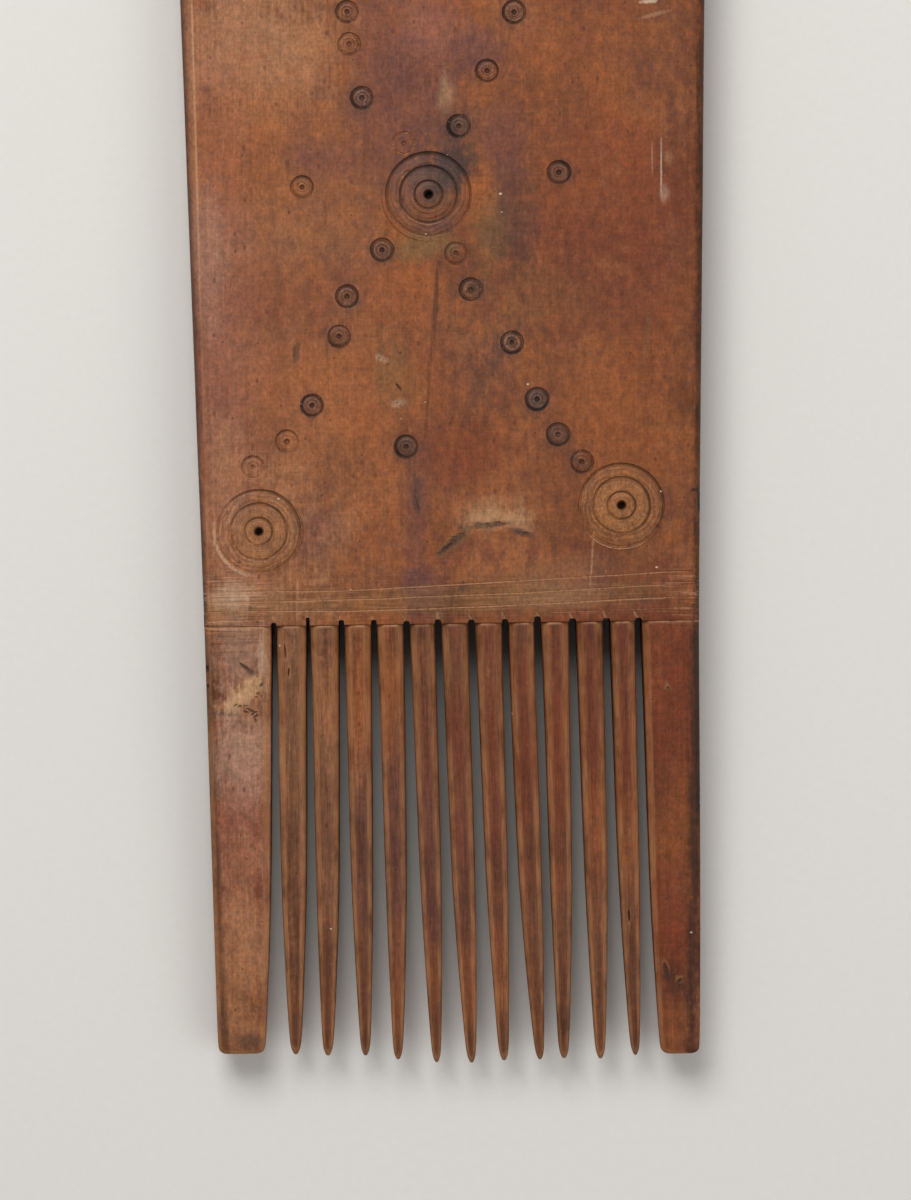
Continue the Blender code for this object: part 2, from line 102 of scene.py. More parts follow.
class Workpiece:
    """A piece of wood or a cutter on the bench, and the strokes that shape it."""

    def __init__(self, obj: bpy.types.Object, name: str) -> None:
        """Takes a new object in hand and settles its place into its mesh.

        Args:
            obj: The object, which is the only one selected.
            name: What to call it.
        """
        self.obj = obj
        obj.name = name
        obj.data.name = name
        bpy.ops.object.transform_apply(location=True, rotation=True, scale=True)

    @classmethod
    def block(cls, name: str, low: Vector, high: Vector) -> Workpiece:
        """Saws a plain block between two corners."""
        clear_bench()
        bpy.ops.mesh.primitive_cube_add(size=1.0, location=(low + high) / 2, scale=high - low)
        return cls(bpy.context.object, name)

    @classmethod
    def plug(cls, name: str, sides: int, low: tuple[float, float], high: tuple[float, float]) -> Workpiece:
        """Turns a tapered plug, given its (height, radius) at the bottom and at the top."""
        clear_bench()
        bpy.ops.mesh.primitive_cone_add(
            vertices=sides, radius1=low[1], radius2=high[1], depth=high[0] - low[0],
            location=(0.0, 0.0, (low[0] + high[0]) / 2))
        return cls(bpy.context.object, name)

    def pick_up(self) -> None:
        """Selects this piece alone."""
        clear_bench()
        self.obj.select_set(True)
        bpy.context.view_layer.objects.active = self.obj

    @classmethod
    def pebble(cls, name: str, place: Vector, size: Vector, turn: float) -> Workpiece:
        """Rounds a lump of three sizes, turned about the vertical."""
        clear_bench()
        bpy.ops.mesh.primitive_ico_sphere_add(
            subdivisions=3, radius=1.0, location=place, scale=size, rotation=(0.0, 0.0, turn))
        return cls(bpy.context.object, name)

    @classmethod
    def hoop(cls, name: str, radius: float, gauge: float, tilt: float, bearing: float,
             place: Vector) -> Workpiece:
        """Bends a thin square bar into a hoop that is tilted down towards a bearing in degrees."""
        clear_bench()
        bpy.ops.mesh.primitive_torus_add(
            major_segments=96, minor_segments=4, major_radius=radius, minor_radius=gauge,
            location=place, rotation=(0.0, math.radians(tilt), math.radians(bearing)))
        return cls(bpy.context.object, name)

    def copy(self, name: str) -> Workpiece:
        """Copies the piece with a mesh of its own."""
        self.pick_up()
        bpy.ops.object.duplicate(linked=False)
        return Workpiece(bpy.context.object, name)

    def discard(self) -> None:
        """Throws the piece away."""
        mesh = self.obj.data
        bpy.data.objects.remove(self.obj)
        bpy.data.meshes.remove(mesh)

    @contextmanager
    def held(self) -> Iterator[None]:
        """Opens the piece for shaping, with nothing selected."""
        self.pick_up()
        bpy.ops.object.mode_set(mode="EDIT")
        bpy.ops.mesh.select_all(action="DESELECT")
        yield
        bpy.ops.object.mode_set(mode="OBJECT")

    def choose(self, hold: Hold, test: Callable[..., bool]) -> None:
        """Selects only the corners, edges or faces that pass a test."""
        bpy.ops.mesh.select_mode(type=hold.value)
        bpy.ops.mesh.select_all(action="DESELECT")
        mesh = bmesh.from_edit_mesh(self.obj.data)
        parts = {Hold.CORNERS: mesh.verts, Hold.EDGES: mesh.edges, Hold.FACES: mesh.faces}[hold]
        for part in [part for part in parts if test(part)]:
            part.select_set(True)
        bmesh.update_edit_mesh(self.obj.data)

    def stretch(self, factors: Sequence[float], about: Vector) -> None:
        """Scales what is selected about a point."""
        bpy.ops.transform.resize(value=factors, center_override=about)

    def slide(self, offset: Sequence[float]) -> None:
        """Moves what is selected."""
        bpy.ops.transform.translate(value=offset)

    def select_all(self) -> None:
        """Selects the whole piece while it is held."""
        bpy.ops.mesh.select_all(action="SELECT")

    def bevel(self, width: float, segments: int = 1) -> None:
        """Bevels the edges that are selected."""
        bpy.ops.mesh.bevel(offset=width, segments=segments, affect="EDGES")

    def slice(self, place: Vector, normal: Vector, clear: bool = False) -> None:
        """Cuts the whole piece by a plane, and takes off what is beyond it if asked."""
        self.select_all()
        bpy.ops.mesh.bisect(plane_co=place, plane_no=normal, clear_outer=clear, use_fill=clear)
        bpy.ops.mesh.select_all(action="DESELECT")

    def modify(self, kind: str, **settings: object) -> None:
        """Adds a modifier and applies it."""
        modifier = self.obj.modifiers.new(kind.lower(), kind)
        for key, value in settings.items():
            setattr(modifier, key, value)
        self.pick_up()
        bpy.ops.object.modifier_apply(modifier=modifier.name)

    def carve(self, cutter: Workpiece) -> None:
        """Cuts a cutter's shape out of the piece, throws the cutter away and cleans the cut."""
        self.modify("BOOLEAN", operation="DIFFERENCE", solver="EXACT", object=cutter.obj)
        cutter.discard()
        with self.held():
            self.select_all()
            bpy.ops.mesh.remove_doubles(threshold=SLIVER)
            self.select_all()
            bpy.ops.mesh.dissolve_degenerate(threshold=SLIVER)

    def smooth(self, degrees: float) -> None:
        """Smooths the shading, and keeps edges sharper than an angle crisp."""
        self.pick_up()
        bpy.ops.object.shade_smooth_by_angle(angle=math.radians(degrees))

    def paint(self, name: str, values: Sequence[float], domain: str = "POINT") -> None:
        """Keeps one number for each corner or face, for the finish to read."""
        layer = self.obj.data.attributes.new(name, "FLOAT", domain)
        layer.data.foreach_set("value", values)


def join(pieces: Sequence[Workpiece], name: str) -> Workpiece:
    """Joins several workpieces into one."""
    clear_bench()
    for piece in pieces:
        piece.obj.select_set(True)
    bpy.context.view_layer.objects.active = pieces[0].obj
    bpy.ops.object.join()
    return Workpiece(bpy.context.object, name)


def place_in_frame(piece: Workpiece, node: str, finish: bpy.types.Material) -> None:
    """Gives a finished piece its material and puts it in the place of its node."""
    piece.obj.data.materials.clear()
    piece.obj.data.materials.append(finish)
    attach(piece.obj, BODY)
    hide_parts(node)
    LOG.info("%s stands for %s: %d faces", piece.obj.name, node, len(piece.obj.data.polygons))


def ease(value: float, start: float, end: float) -> float:
    """Returns 0 at start and 1 at end, with a smooth step between them."""
    share = min(1.0, max(0.0, (value - start) / (end - start)))
    return share * share * (3.0 - 2.0 * share)


def run_of(edge: bmesh.types.BMEdge) -> float:
    """Returns how far an edge runs along the comb."""
    return abs(edge.verts[0].co.y - edge.verts[1].co.y)


def at(axis: str, place: float) -> Callable[[bmesh.types.BMVert], bool]:
    """Returns a test for corners at a place on an axis."""
    return lambda corner: abs(getattr(corner.co, axis) - place) < ALIKE


# Measures


@dataclass(frozen=True)
class Section:
    """A measured section across a frame node."""

    y: float
    left: float
    right: float
    low: float
    high: float

    def middle(self) -> Vector:
        """Returns the section's centre."""
        return Vector(((self.left + self.right) / 2, self.y, (self.low + self.high) / 2))


def sections_of(node: str) -> list[Section]:
    """Measures a frame node wherever its outline turns.

    Args:
        node: The node's name.

    Returns:
        Its sections, from the root line outwards.
    """
    points = sorted((vertex.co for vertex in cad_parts[node].data.vertices),
                    key=lambda co: abs(co.y))
    rows: list[list[Vector]] = []
    for point in points:
        if not rows or abs(point.y - rows[-1][0].y) > ALIKE:
            rows.append([])
        rows[-1].append(point)
    return [Section(row[0].y, min(p.x for p in row), max(p.x for p in row),
                    min(p.z for p in row), max(p.z for p in row)) for row in rows]


# Finishes


Colour = tuple[float, float, float, float]


def tone(red: int, green: int, blue: int) -> Colour:
    """Returns the linear colour for a tone given as it looks on a screen, 0 to 255."""
    def linear(channel: int) -> float:
        """Returns one channel in linear light."""
        share = channel / 255
        return share / 12.92 if share <= 0.04045 else ((share + 0.055) / 1.055) ** 2.4
    return linear(red), linear(green), linear(blue), 1.0


class Tint(Enum):
    """The colours of the stains in the wood, and of the painted shade that some of them lay."""

    TAN = tone(172, 120, 82)
    ROSE = tone(154, 94, 78)
    STRAW = tone(184, 142, 102)
    CHALK = tone(188, 156, 132)
    MAUVE = tone(98, 58, 56)
    SMOKE = tone(60, 46, 42)
    OLIVE = tone(120, 86, 48)
    ORANGE = tone(159, 87, 39)
    RED = tone(121, 54, 26)
    UMBER = tone(68, 36, 16)
    EDGE = tone(50, 29, 16)


@dataclass(frozen=True)
class Stain:
    """One soft-edged stain: its place, half sizes, turn and height in millimetres and degrees."""

    name: str
    x: float
    y: float
    across: float
    along: float
    turn: float
    tint: Tint
    strength: float
    softness: float
    height: float = FACE


TAN, ROSE, STRAW, CHALK, MAUVE, SMOKE, OLIVE, ORANGE, RED, UMBER, EDGE = Tint

# Later rows lie over earlier ones.
STAINS = tuple(Stain(*row) for row in (
    ("red left bevel", -36, -6, 1, 60, 1.4, MAUVE, 0.42, 0.4),
    # Painted shade: the right half is darkened where the light falls off.
    ("painted shade over the right half", 25, -24, 13, 44, 0, UMBER, 0.16, 0.8),
    ("dark red patch at the right", 27, 5.5, 9, 5.5, 0, RED, 0.42, 0.6),
    ("orange by the vein", -9.8, -41, 4.5, 9, 0, ORANGE, 0.3, 0.7),
    ("grey round the dot", -2.35, 0, 1.9, 1.9, 0, SMOKE, 0.36, 0.4),
    ("end of the white rub", 30.6, -0.3, 0.55, 1, 0, CHALK, 0.7, 0.7),
    ("specks by the white rub", 31.3, 4.6, 0.6, 1, 0, STRAW, 0.34, 0.7),
    ("dry streaks at the top", 29.6, 24.7, 1.8, 0.24, 14, STRAW, 0.36, 0.6),
    ("red edge of the guard", -33.7, -67.5, 1, 5.6, 1, UMBER, 0.5, 0.5),
    ("second crack in the knot", -28, -72.4, 0.8, 0.15, -50, UMBER, 0.7, 0.5),
    ("dark end of the right guard", 30.8, -108, 4, 11, 0, UMBER, 0.44, 0.6),
    ("red right guard", 30.8, -90, 5, 34, 0, RED, 0.25, 0.5),
    ("red field right of the rings", 22.5, -1, 13, 9, 0, RED, 0.35, 0.35),
    ("brown field below it", 13.5, -14.5, 7.5, 4.6, 0, OLIVE, 0.3, 0.3),
    ("red left field", -25, -31, 9, 12, 0, RED, 0.2, 0.5),
    ("mauve left edge", -32.6, -27, 2.6, 24, 2, MAUVE, 0.18, 0.5),
    ("rosy left edge", -33.2, -8, 2.2, 9, 2, CHALK, 0.25, 0.5),
    ("grey over the rings", -1.2, 2.6, 4.6, 3, 0, SMOKE, 0.46, 0.5),
    ("tan under the rings", -3, -7.6, 4.6, 1.8, 0, OLIVE, 0.45, 0.5),
    ("haze above the rings", 0.6, 8.4, 5.2, 3.6, 20, SMOKE, 0.3, 0.6),
    ("dirt in the lower rings", -30, -43.4, 2, 1.3, 35, MAUVE, 0.5, 0.5),
    ("chalky rub on the guide lines", -32, -57.2, 3.4, 4.6, 0, OLIVE, 0.3, 0.5),
    ("chalky rub on the guard", -30.2, -63.6, 3.2, 4.4, 0, CHALK, 0.34, 0.6),
    ("upright scratch, left", -21.6, -57.1, 0.18, 2.3, -2, STRAW, 0.45, 0.6),
    ("upright scratch, right", 19.6, -53.6, 0.15, 4.6, -5, STRAW, 0.36, 0.6),
    ("pale guard edge", -26.4, -65, 0.8, 4.6, 0, CHALK, 0.6, 0.5),
    ("knot, outer", -32, -71.2, 1.3, 0.7, 10, STRAW, 0.18, 0.6),
    ("crack in the knot", -29.2, -71.6, 1.1, 0.16, -20, UMBER, 0.7, 0.5),
    ("pale corner of the panel", -25.3, 21.2, 10.1, 8.7, 0, TAN, 0.55, 0.6),
    ("pale left side", -31.5, -18.6, 4.8, 36.4, 0, ROSE, 0.32, 0.7),
    ("pale foot of the panel", -30.2, -55, 7, 6.3, 0, TAN, 0.2, 0.6),
    ("tan left half", -20.6, -18.7, 12.6, 42, 0, TAN, 0.18, 0.8),
    ("mauve cloud at the top", -5.5, 16, 7.3, 13.3, 0, MAUVE, 0.45, 0.5),
    ("rose patch at the top", -2.5, 23.7, 4.2, 4.2, 0, ROSE, 0.35, 0.6),
    ("mauve patch by the upper arm", 4.6, 20.4, 3.6, 3.4, 0, MAUVE, 0.45, 0.4),
    ("mauve band, upper", 8.9, 6, 2.8, 5.6, 0, MAUVE, 0.5, 0.45),
    ("mauve band, lower", 9.3, -3.1, 3.4, 6.4, 0, SMOKE, 0.42, 0.6),
    ("olive beside the band", 5.9, -4.4, 2.2, 5.6, 0, OLIVE, 0.4, 0.6),
    ("orange beside the rings", 4.9, 0.5, 1.7, 4.2, 0, ORANGE, 0.4, 0.6),
    ("orange patch right of centre", 18.3, 8.7, 9.8, 10.5, 0, ORANGE, 0.22, 0.7),
    ("orange patch upper right", 20.6, 21.3, 8.4, 5.6, 0, ORANGE, 0.26, 0.7),
    ("orange patch lower left", -14.4, -27.2, 9.8, 8.4, 0, ORANGE, 0.35, 0.7),
    ("orange patch under the rings", -5.8, -12.7, 5.6, 5.6, 0, ORANGE, 0.4, 0.6),
    ("orange right side", 24, -30.6, 9.8, 11.2, 0, ORANGE, 0.35, 0.7),
    ("orange by the left arm", -27.2, 8, 8.4, 8.4, 0, ORANGE, 0.3, 0.7),
    ("smoke in the rings", 1, 4, 3.1, 2.5, 30, SMOKE, 0.6, 0.5),
    ("olive under the rings", -3.1, -7.2, 3.1, 2, 10, OLIVE, 0.6, 0.6),
    ("smudge beside the dot", -17.7, 5.3, 4.2, 2.5, -10, MAUVE, 0.4, 0.6),
    ("dry streak over the rings", 0.3, 14.3, 1, 2.5, 0, STRAW, 0.32, 0.7),
    ("white rub at the right", 30.3, 3.6, 0.11, 3.9, -1, CHALK, 0.8, 0.6),
    ("white rub beside it", 29.05, 4.3, 0.1, 1.9, 0, CHALK, 0.34, 0.6),
    ("white rub at the top", 28.9, 26.6, 1, 0.28, 5, CHALK, 0.8, 0.5),
    ("red patch right", 27.1, -12.4, 7, 9.8, 0, RED, 0.3, 0.7),
    ("red patch right of the dots", 15.9, -13.7, 7, 7, 0, RED, 0.3, 0.6),
    ("red heart of the panel", 2.7, -36.2, 6.4, 3.9, 0, RED, 0.4, 0.6),
    ("red over the left dots", -20.5, -14.5, 8.4, 4.9, 0, RED, 0.3, 0.7),
    ("dark scratch", 27.8, -20.9, 0.25, 3.6, -8, OLIVE, 0.4, 0.6),
    ("smudge at the right edge", 33, -29.3, 2, 3.4, 0, UMBER, 0.4, 0.6),
    ("bruise", -21.2, -21.8, 0.45, 1.4, -10, SMOKE, 0.5, 0.4),
    ("pale scuff", -7.4, -25.6, 2.6, 4.8, 12, OLIVE, 0.4, 0.5),
    ("whitish flake in it", -9.2, -22.9, 1.2, 0.5, -25, CHALK, 0.35, 0.6),
    ("second flake", -7, -29.2, 1.1, 0.5, 5, CHALK, 0.35, 0.6),
    ("slit in the scuff", -6.9, -26.9, 0.2, 0.8, 35, SMOKE, 0.5, 0.4),
    ("old crack, upper", -1.5, -14.8, 0.24, 5.4, -3, UMBER, 0.8, 0.6),
    ("old crack, lower", -2.6, -25.3, 0.24, 6.2, -5, UMBER, 0.74, 0.6),
    ("left of the crack", -3.1, -16.2, 2, 7, -2, ORANGE, 0.3, 0.7),
    ("dark vein", -4.7, -48.4, 1.5, 10.2, -2, MAUVE, 0.36, 0.7),
    ("pit in the vein", -4.6, -42.5, 0.6, 2.4, 0, SMOKE, 0.5, 0.6),
    ("foot of the vein", -3.7, -55.4, 3.1, 3.6, 0, MAUVE, 0.5, 0.6),
    ("spot on the guide lines", 1.7, -55.1, 1.3, 0.7, 0, SMOKE, 0.55, 0.5),
    ("scar, left end", 0.2, -48.9, 2.9, 0.75, 38, OLIVE, 0.55, 0.6),
    ("scar, middle", 6.3, -45.5, 3.6, 1.2, 9, STRAW, 0.4, 0.6),
    ("scar, right end", 9.6, -46.3, 1.8, 0.9, -34, STRAW, 0.28, 0.6),
    ("smear in the scar, left", -0.1, -49.1, 2.4, 0.42, 38, SMOKE, 0.55, 0.6),
    ("dark seam of the scar", 5.5, -46.4, 2.4, 0.34, 6, SMOKE, 0.5, 0.6),
    ("end of the scar", 10.1, -47.6, 1.4, 0.42, -18, SMOKE, 0.6, 0.6),
    ("smudge by the lower rings", -18.7, -47.2, 3.1, 3.6, 0, MAUVE, 0.3, 0.6),
    ("brown between the guide lines", -0.2, -56.8, 36.4, 1.8, 1, OLIVE, 0.35, 0.3),
    ("rose guard top", -30.2, -63.4, 4.8, 2.5, 0, MAUVE, 0.16, 0.5),
    ("smear on the guard", -28.9, -65.9, 1.6, 0.36, -38, SMOKE, 0.55, 0.5),
    ("lower smear on the guard", -31.8, -72.3, 1.7, 0.3, -5, SMOKE, 0.6, 0.5),
    ("yellow knot", -29.2, -69.6, 3.6, 1.15, 40, STRAW, 0.8, 0.5),
    ("rust by the knot", -28.1, -72.6, 1.5, 0.8, -10, RED, 0.35, 0.6),
    ("pale guard", -29.9, -78.6, 3.8, 6.4, 0, CHALK, 0.46, 0.7),
    ("rose guard middle", -30.4, -90.4, 4.6, 14, 0, ROSE, 0.36, 0.7),
    ("tan guard end", -30.3, -106.8, 4.2, 12, 0, TAN, 0.42, 0.7),
    ("grey end of the guard", -29.1, -118.4, 2.1, 1.3, 0, SMOKE, 0.45, 0.6),
    ("orange tooth tops", -11.3, -69.3, 5.6, 10.5, 0, ORANGE, 0.42, 0.6),
    ("tan first teeth", -20.8, -78.9, 5.9, 19.6, 0, TAN, 0.22, 0.7),
    ("mauve mid teeth", -4.9, -93.2, 10.5, 15.4, 0, MAUVE, 0.3, 0.7),
    ("red teeth", 6.5, -79.3, 8.4, 18.2, 0, RED, 0.35, 0.7),
    ("red right teeth", 19.2, -75.3, 8.4, 15.4, 0, RED, 0.45, 0.7),
    ("orange right teeth", 22.4, -89.4, 4.2, 6.3, 0, ORANGE, 0.35, 0.7),
    ("orange lower teeth", -1, -110.7, 11.2, 6.3, 0, ORANGE, 0.25, 0.7),
    ("burnt tip", 15.2, -117, 0.8, 1.6, 0, UMBER, 0.6, 0.6),
    ("red guard top", 30.7, -71.3, 4.2, 11.9, 0, RED, 0.65, 0.6),
    ("orange guard", 31.3, -90.4, 3.1, 6.7, 0, ORANGE, 0.35, 0.7),
    ("dark outer guard", 31, -92, 4.6, 30, 0, UMBER, 0.2, 0.5),
    ("red guard end", 30.6, -103.5, 3.4, 8.6, 0, RED, 0.6, 0.6),
    ("smudge on the guard", 30.4, -110.2, 1.2, 2.5, 12, UMBER, 0.5, 0.6),
    ("orange guard end", 30.6, -117.5, 3.1, 3.4, 0, ORANGE, 0.24, 0.6),
    ("red upper panel", 10, 40, 16, 12, 20, RED, 0.3, 0.7),
    ("tan upper panel", -22, 46, 9, 12, -10, TAN, 0.35, 0.7),
    ("mauve upper panel", 22, 52, 7, 5, 0, MAUVE, 0.4, 0.6),
    ("dark fine teeth", 2, 84, 30, 16, 0, MAUVE, 0.3, 0.8),
    ("orange fine teeth", -18, 70, 12, 10, 0, ORANGE, 0.35, 0.7),
    ("smoke on the back", 6, -20, 20, 12, 25, SMOKE, 0.4, 0.7, 0),
    ("orange on the back", -14, 20, 16, 24, -10, ORANGE, 0.4, 0.7, 0),
    ("red on the back", 18, 40, 12, 16, 0, RED, 0.4, 0.7, 0),
    ("straw over the scar", 5.4, -43.9, 3.8, 1.3, 14, STRAW, 0.2, 0.7),
    ("olive over the guide lines", 8.4, -55.6, 6.6, 3, 0, OLIVE, 0.3, 0.7),
    ("pale streaks at the guide lines", -31.2, -56, 2.6, 1.5, 0, CHALK, 0.45, 0.7),
    ("tan by the lower rings", -31.6, -38.6, 3.4, 7, 0, TAN, 0.3, 0.6),
    ("brown by the white rub", 32.6, 6.2, 3.2, 5.6, 0, UMBER, 0.22, 0.6),
    ("orange by the crack", -3.2, -27.2, 3.4, 4.6, 0, ORANGE, 0.26, 0.6),
    ("dark vein in the guide lines", 0.6, -56.8, 1.6, 2.6, 0, UMBER, 0.4, 0.6),
    ("dirt at the foot of the rings", -1.4, -4.4, 2.6, 0.9, 0, MAUVE, 0.4, 0.6),
    ("tan on the back", -22, -44, 10, 12, 0, TAN, 0.45, 0.7, 0),
))


Socket = bpy.types.NodeSocket
Feed = Socket | float | Sequence[float]

SOCKET_TYPES = {"Vector": "NodeSocketVector", "Colour": "NodeSocketColor"}


@dataclass(frozen=True)
class Cloud:
    """Soft noise: its scale along each axis, its detail and its roughness."""

    scale: tuple[float, float, float]
    detail: float = 2.0
    rough: float = 0.5


# The parts of the wood's figure.
FIGURE = {
    "Streaks": Cloud((1.3, 0.035, 0.6), 4.0, 0.6),
    "Fibres": Cloud((6.5, 0.2, 3.0), 3.0, 0.6),
    "Cross": Cloud((0.13, 4.2, 2.0), 3.0, 0.6),
    "Clouds": Cloud((0.075, 0.055, 0.08), 4.0, 0.55),
    "Mottle": Cloud((0.24, 0.17, 0.24), 5.0, 0.62),
    "Patches": Cloud((0.8, 0.55, 0.8), 3.0, 0.6),
    "Soil": Cloud((2.3, 1.7, 2.2), 4.0, 0.66)}
# What makes the edges of the stains ragged, and how far each pushes them.
RAGGED = ((Cloud((0.2, 0.14, 0.2), 4.0, 0.6), 2.2), (Cloud((1.5, 0.9, 1.3), 4.0, 0.7), 1.7),
          (Cloud((2.4, 0.1, 1.2), 3.0, 0.6), 1.3))
# What makes the turned marks stray from true circles, in millimetres.
WOBBLE, WOBBLE_REACH = Cloud((0.35, 0.3, 0.3)), 1.6
# The scratches in the grounds of the small rings, and how far they stray.
SCRATCHES, SCRATCHES_REACH = Cloud((3.4, 3.1, 3.2), 4.0, 0.7), 1.1
CARD_FIBRE = Cloud((0.9, 0.9, 0.9), 3.0, 0.6)
# How deep a stain goes into the wood, and how much stronger it is than its row says.
STAIN_DEPTH, STAIN_GAIN = 9.0, 1.25
# How much the stains' place wavers with their ragged edges. The renderer then works out
# the noise before it works out any stain, and the shader stays small enough for it.
WAVER = 0.02
# The mean of any noise, the least size of a speck, and its solid core.
NOISE_MEAN, LEAST_SPECK, SPECK_CORE = 0.5, 0.5, 0.4
# The scale and roughness of the marks that a turned tool leaves, in large and small rings.
TURNED_RIPPLES, STAMPED_RIPPLES = (2.8, 0.72), (3.0, 0.75)


class Wiring:
    """Adds shader nodes to a tree, so that a finish reads as a list of steps."""

    def __init__(self, tree: bpy.types.NodeTree) -> None:
        """Takes the tree that the nodes go into."""
        self.tree = tree

    def node(self, kind: str, feeds: dict[int | str, Feed], **settings: object) -> bpy.types.Node:
        """Adds a node.

        Args:
            kind: Its type, without the leading "ShaderNode".
            feeds: What each input takes: another node's output, or a plain value.
            settings: Its own options.

        Returns:
            The node.
        """
        node = self.tree.nodes.new("ShaderNode" + kind)
        for key, value in settings.items():
            setattr(node, key, value)
        self.feed(node, feeds)
        return node

    def feed(self, node: bpy.types.Node, feeds: dict[int | str, Feed]) -> None:
        """Feeds a node's inputs, each by another node's output or a plain value."""
        for key, feed in feeds.items():
            if isinstance(feed, bpy.types.NodeSocket):
                self.tree.links.new(feed, node.inputs[key])
            else:
                node.inputs[key].default_value = feed

    def sum(self, operation: str, *feeds: Feed, clamp: bool = False) -> Socket:
        """Works out one number from one, two or three."""
        return self.node("Math", dict(enumerate(feeds)), operation=operation, use_clamp=clamp).outputs[0]

    def times(self, first: Feed, *others: Feed, clamp: bool = False) -> Feed:
        """Multiplies numbers with each other."""
        for other in others:
            first = self.sum("MULTIPLY", first, other, clamp=clamp)
        return first

    def vector(self, operation: str, *feeds: Feed) -> Socket:
        """Works out one vector from one or two."""
        return self.node("VectorMath", dict(enumerate(feeds)), operation=operation).outputs[0]

    def measure(self, operation: str, *feeds: Feed) -> Socket:
        """Works out one number from one or two vectors."""
        return self.node("VectorMath", dict(enumerate(feeds)), operation=operation).outputs["Value"]

    def mix(self, factor: Feed, under: Feed, over: Feed, blend: str = "MIX") -> Socket:
        """Lays one colour over another."""
        return self.node("Mix", {0: factor, 6: under, 7: over}, data_type="RGBA",
                         blend_type=blend).outputs[2]

    def step(self, value: Feed, start: Feed, end: Feed, low: float = 0.0, high: float = 1.0) -> Socket:
        """Turns a value into a smooth step from low, at start, to high, at end."""
        return self.node("MapRange", {0: value, 1: start, 2: end, 3: low, 4: high},
                         interpolation_type="SMOOTHSTEP", clamp=False).outputs[0]

    def cloud(self, place: Feed, cloud: Cloud) -> Socket:
        """Returns soft noise from 0 to 1."""
        stretched = self.vector("MULTIPLY", place, cloud.scale)
        return self.node("TexNoise", {"Vector": stretched, "Scale": 1.0, "Detail": cloud.detail,
                                      "Roughness": cloud.rough}).outputs[0]

    def ripples(self, distance: Feed, scale: float, rough: float) -> Socket:
        """Returns noise from 0 to 1 that changes along one distance only."""
        return self.node("TexNoise", {"W": distance, "Scale": scale, "Detail": 4.0,
                                      "Roughness": rough}, noise_dimensions="1D").outputs[0]

    def attribute(self, name: str) -> Socket:
        """Reads a number that is kept on the mesh."""
        return self.node("Attribute", {}, attribute_name=name).outputs["Fac"]

    def place(self) -> Socket:
        """Returns the place on the comb, in millimetres."""
        place = self.node("TexCoord", {}).outputs["Object"]
        return self.node("VectorMath", {0: place, "Scale": 1.0 / MM}, operation="SCALE").outputs[0]

    def group(self, tree: bpy.types.NodeTree, **feeds: Feed) -> bpy.types.Node:
        """Places a node group and feeds it."""
        node = self.tree.nodes.new("ShaderNodeGroup")
        node.node_tree = tree
        self.feed(node, feeds)
        return node

    def oval(self, tree: bpy.types.NodeTree, vector: Feed, place: Sequence[float], reach: Sequence[float],
             **feeds: Feed) -> bpy.types.Node:
        """Places the mask of one stain, whose place and reach are in millimetres."""
        return self.group(tree, Vector=vector, **feeds,
                          **{"Place Vector": tuple(place), "Reach Vector": (*reach, STAIN_DEPTH)})


class Effect(Wiring):
    """A node group that several finishes share: it takes inputs and gives colours or masks."""

    def __init__(self, name: str, inputs: Sequence[str], outputs: Sequence[str]) -> None:
        """Makes the group.

        Args:
            name: What to call it.
            inputs: The names of its inputs. One that ends in Vector or Colour is of that type.
            outputs: The names of its outputs, likewise.
        """
        super().__init__(bpy.data.node_groups.new(name, "ShaderNodeTree"))
        for names, way in ((inputs, "INPUT"), (outputs, "OUTPUT")):
            for socket in names:
                kind = next((SOCKET_TYPES[word] for word in SOCKET_TYPES if socket.endswith(word)),
                            "NodeSocketFloat")
                self.tree.interface.new_socket(name=socket, in_out=way, socket_type=kind)
        self.inlet = self.tree.nodes.new("NodeGroupInput")
        self.outlet = self.tree.nodes.new("NodeGroupOutput")

    def take(self, name: str) -> Socket:
        """Returns one of the group's inputs."""
        return self.inlet.outputs[name]

    def give(self, name: str, feed: Socket) -> None:
        """Sends a value to one of the group's outputs."""
        self.tree.links.new(feed, self.outlet.inputs[name])


def figure_effect() -> bpy.types.NodeTree:
    """Makes the wood's figure, with one output for each of its parts."""
    effect = Effect("wood_figure", ["Vector"], list(FIGURE))
    for name, cloud in FIGURE.items():
        effect.give(name, effect.cloud(effect.take("Vector"), cloud))
    return effect.tree


def stain_effect() -> bpy.types.NodeTree:
    """Makes the mask of one stain: an oval with a soft, ragged edge."""
    effect = Effect("stain", ["Vector", "Place Vector", "Reach Vector", "Turn", "Softness", "Ragged"],
                    ["Mask"])
    offset = effect.vector("SUBTRACT", effect.take("Vector"), effect.take("Place Vector"))
    turned = effect.node("VectorRotate", {"Vector": offset, "Angle": effect.take("Turn")},
                         rotation_type="Z_AXIS").outputs[0]
    reach = effect.measure("LENGTH", effect.vector("DIVIDE", turned, effect.take("Reach Vector")))
    ragged = effect.sum("ADD", reach, effect.take("Ragged"))
    soft = effect.take("Softness")
    effect.give("Mask", effect.step(ragged, effect.sum("ADD", 1.0, soft), effect.sum("SUBTRACT", 1.0, soft)))
    return effect.tree


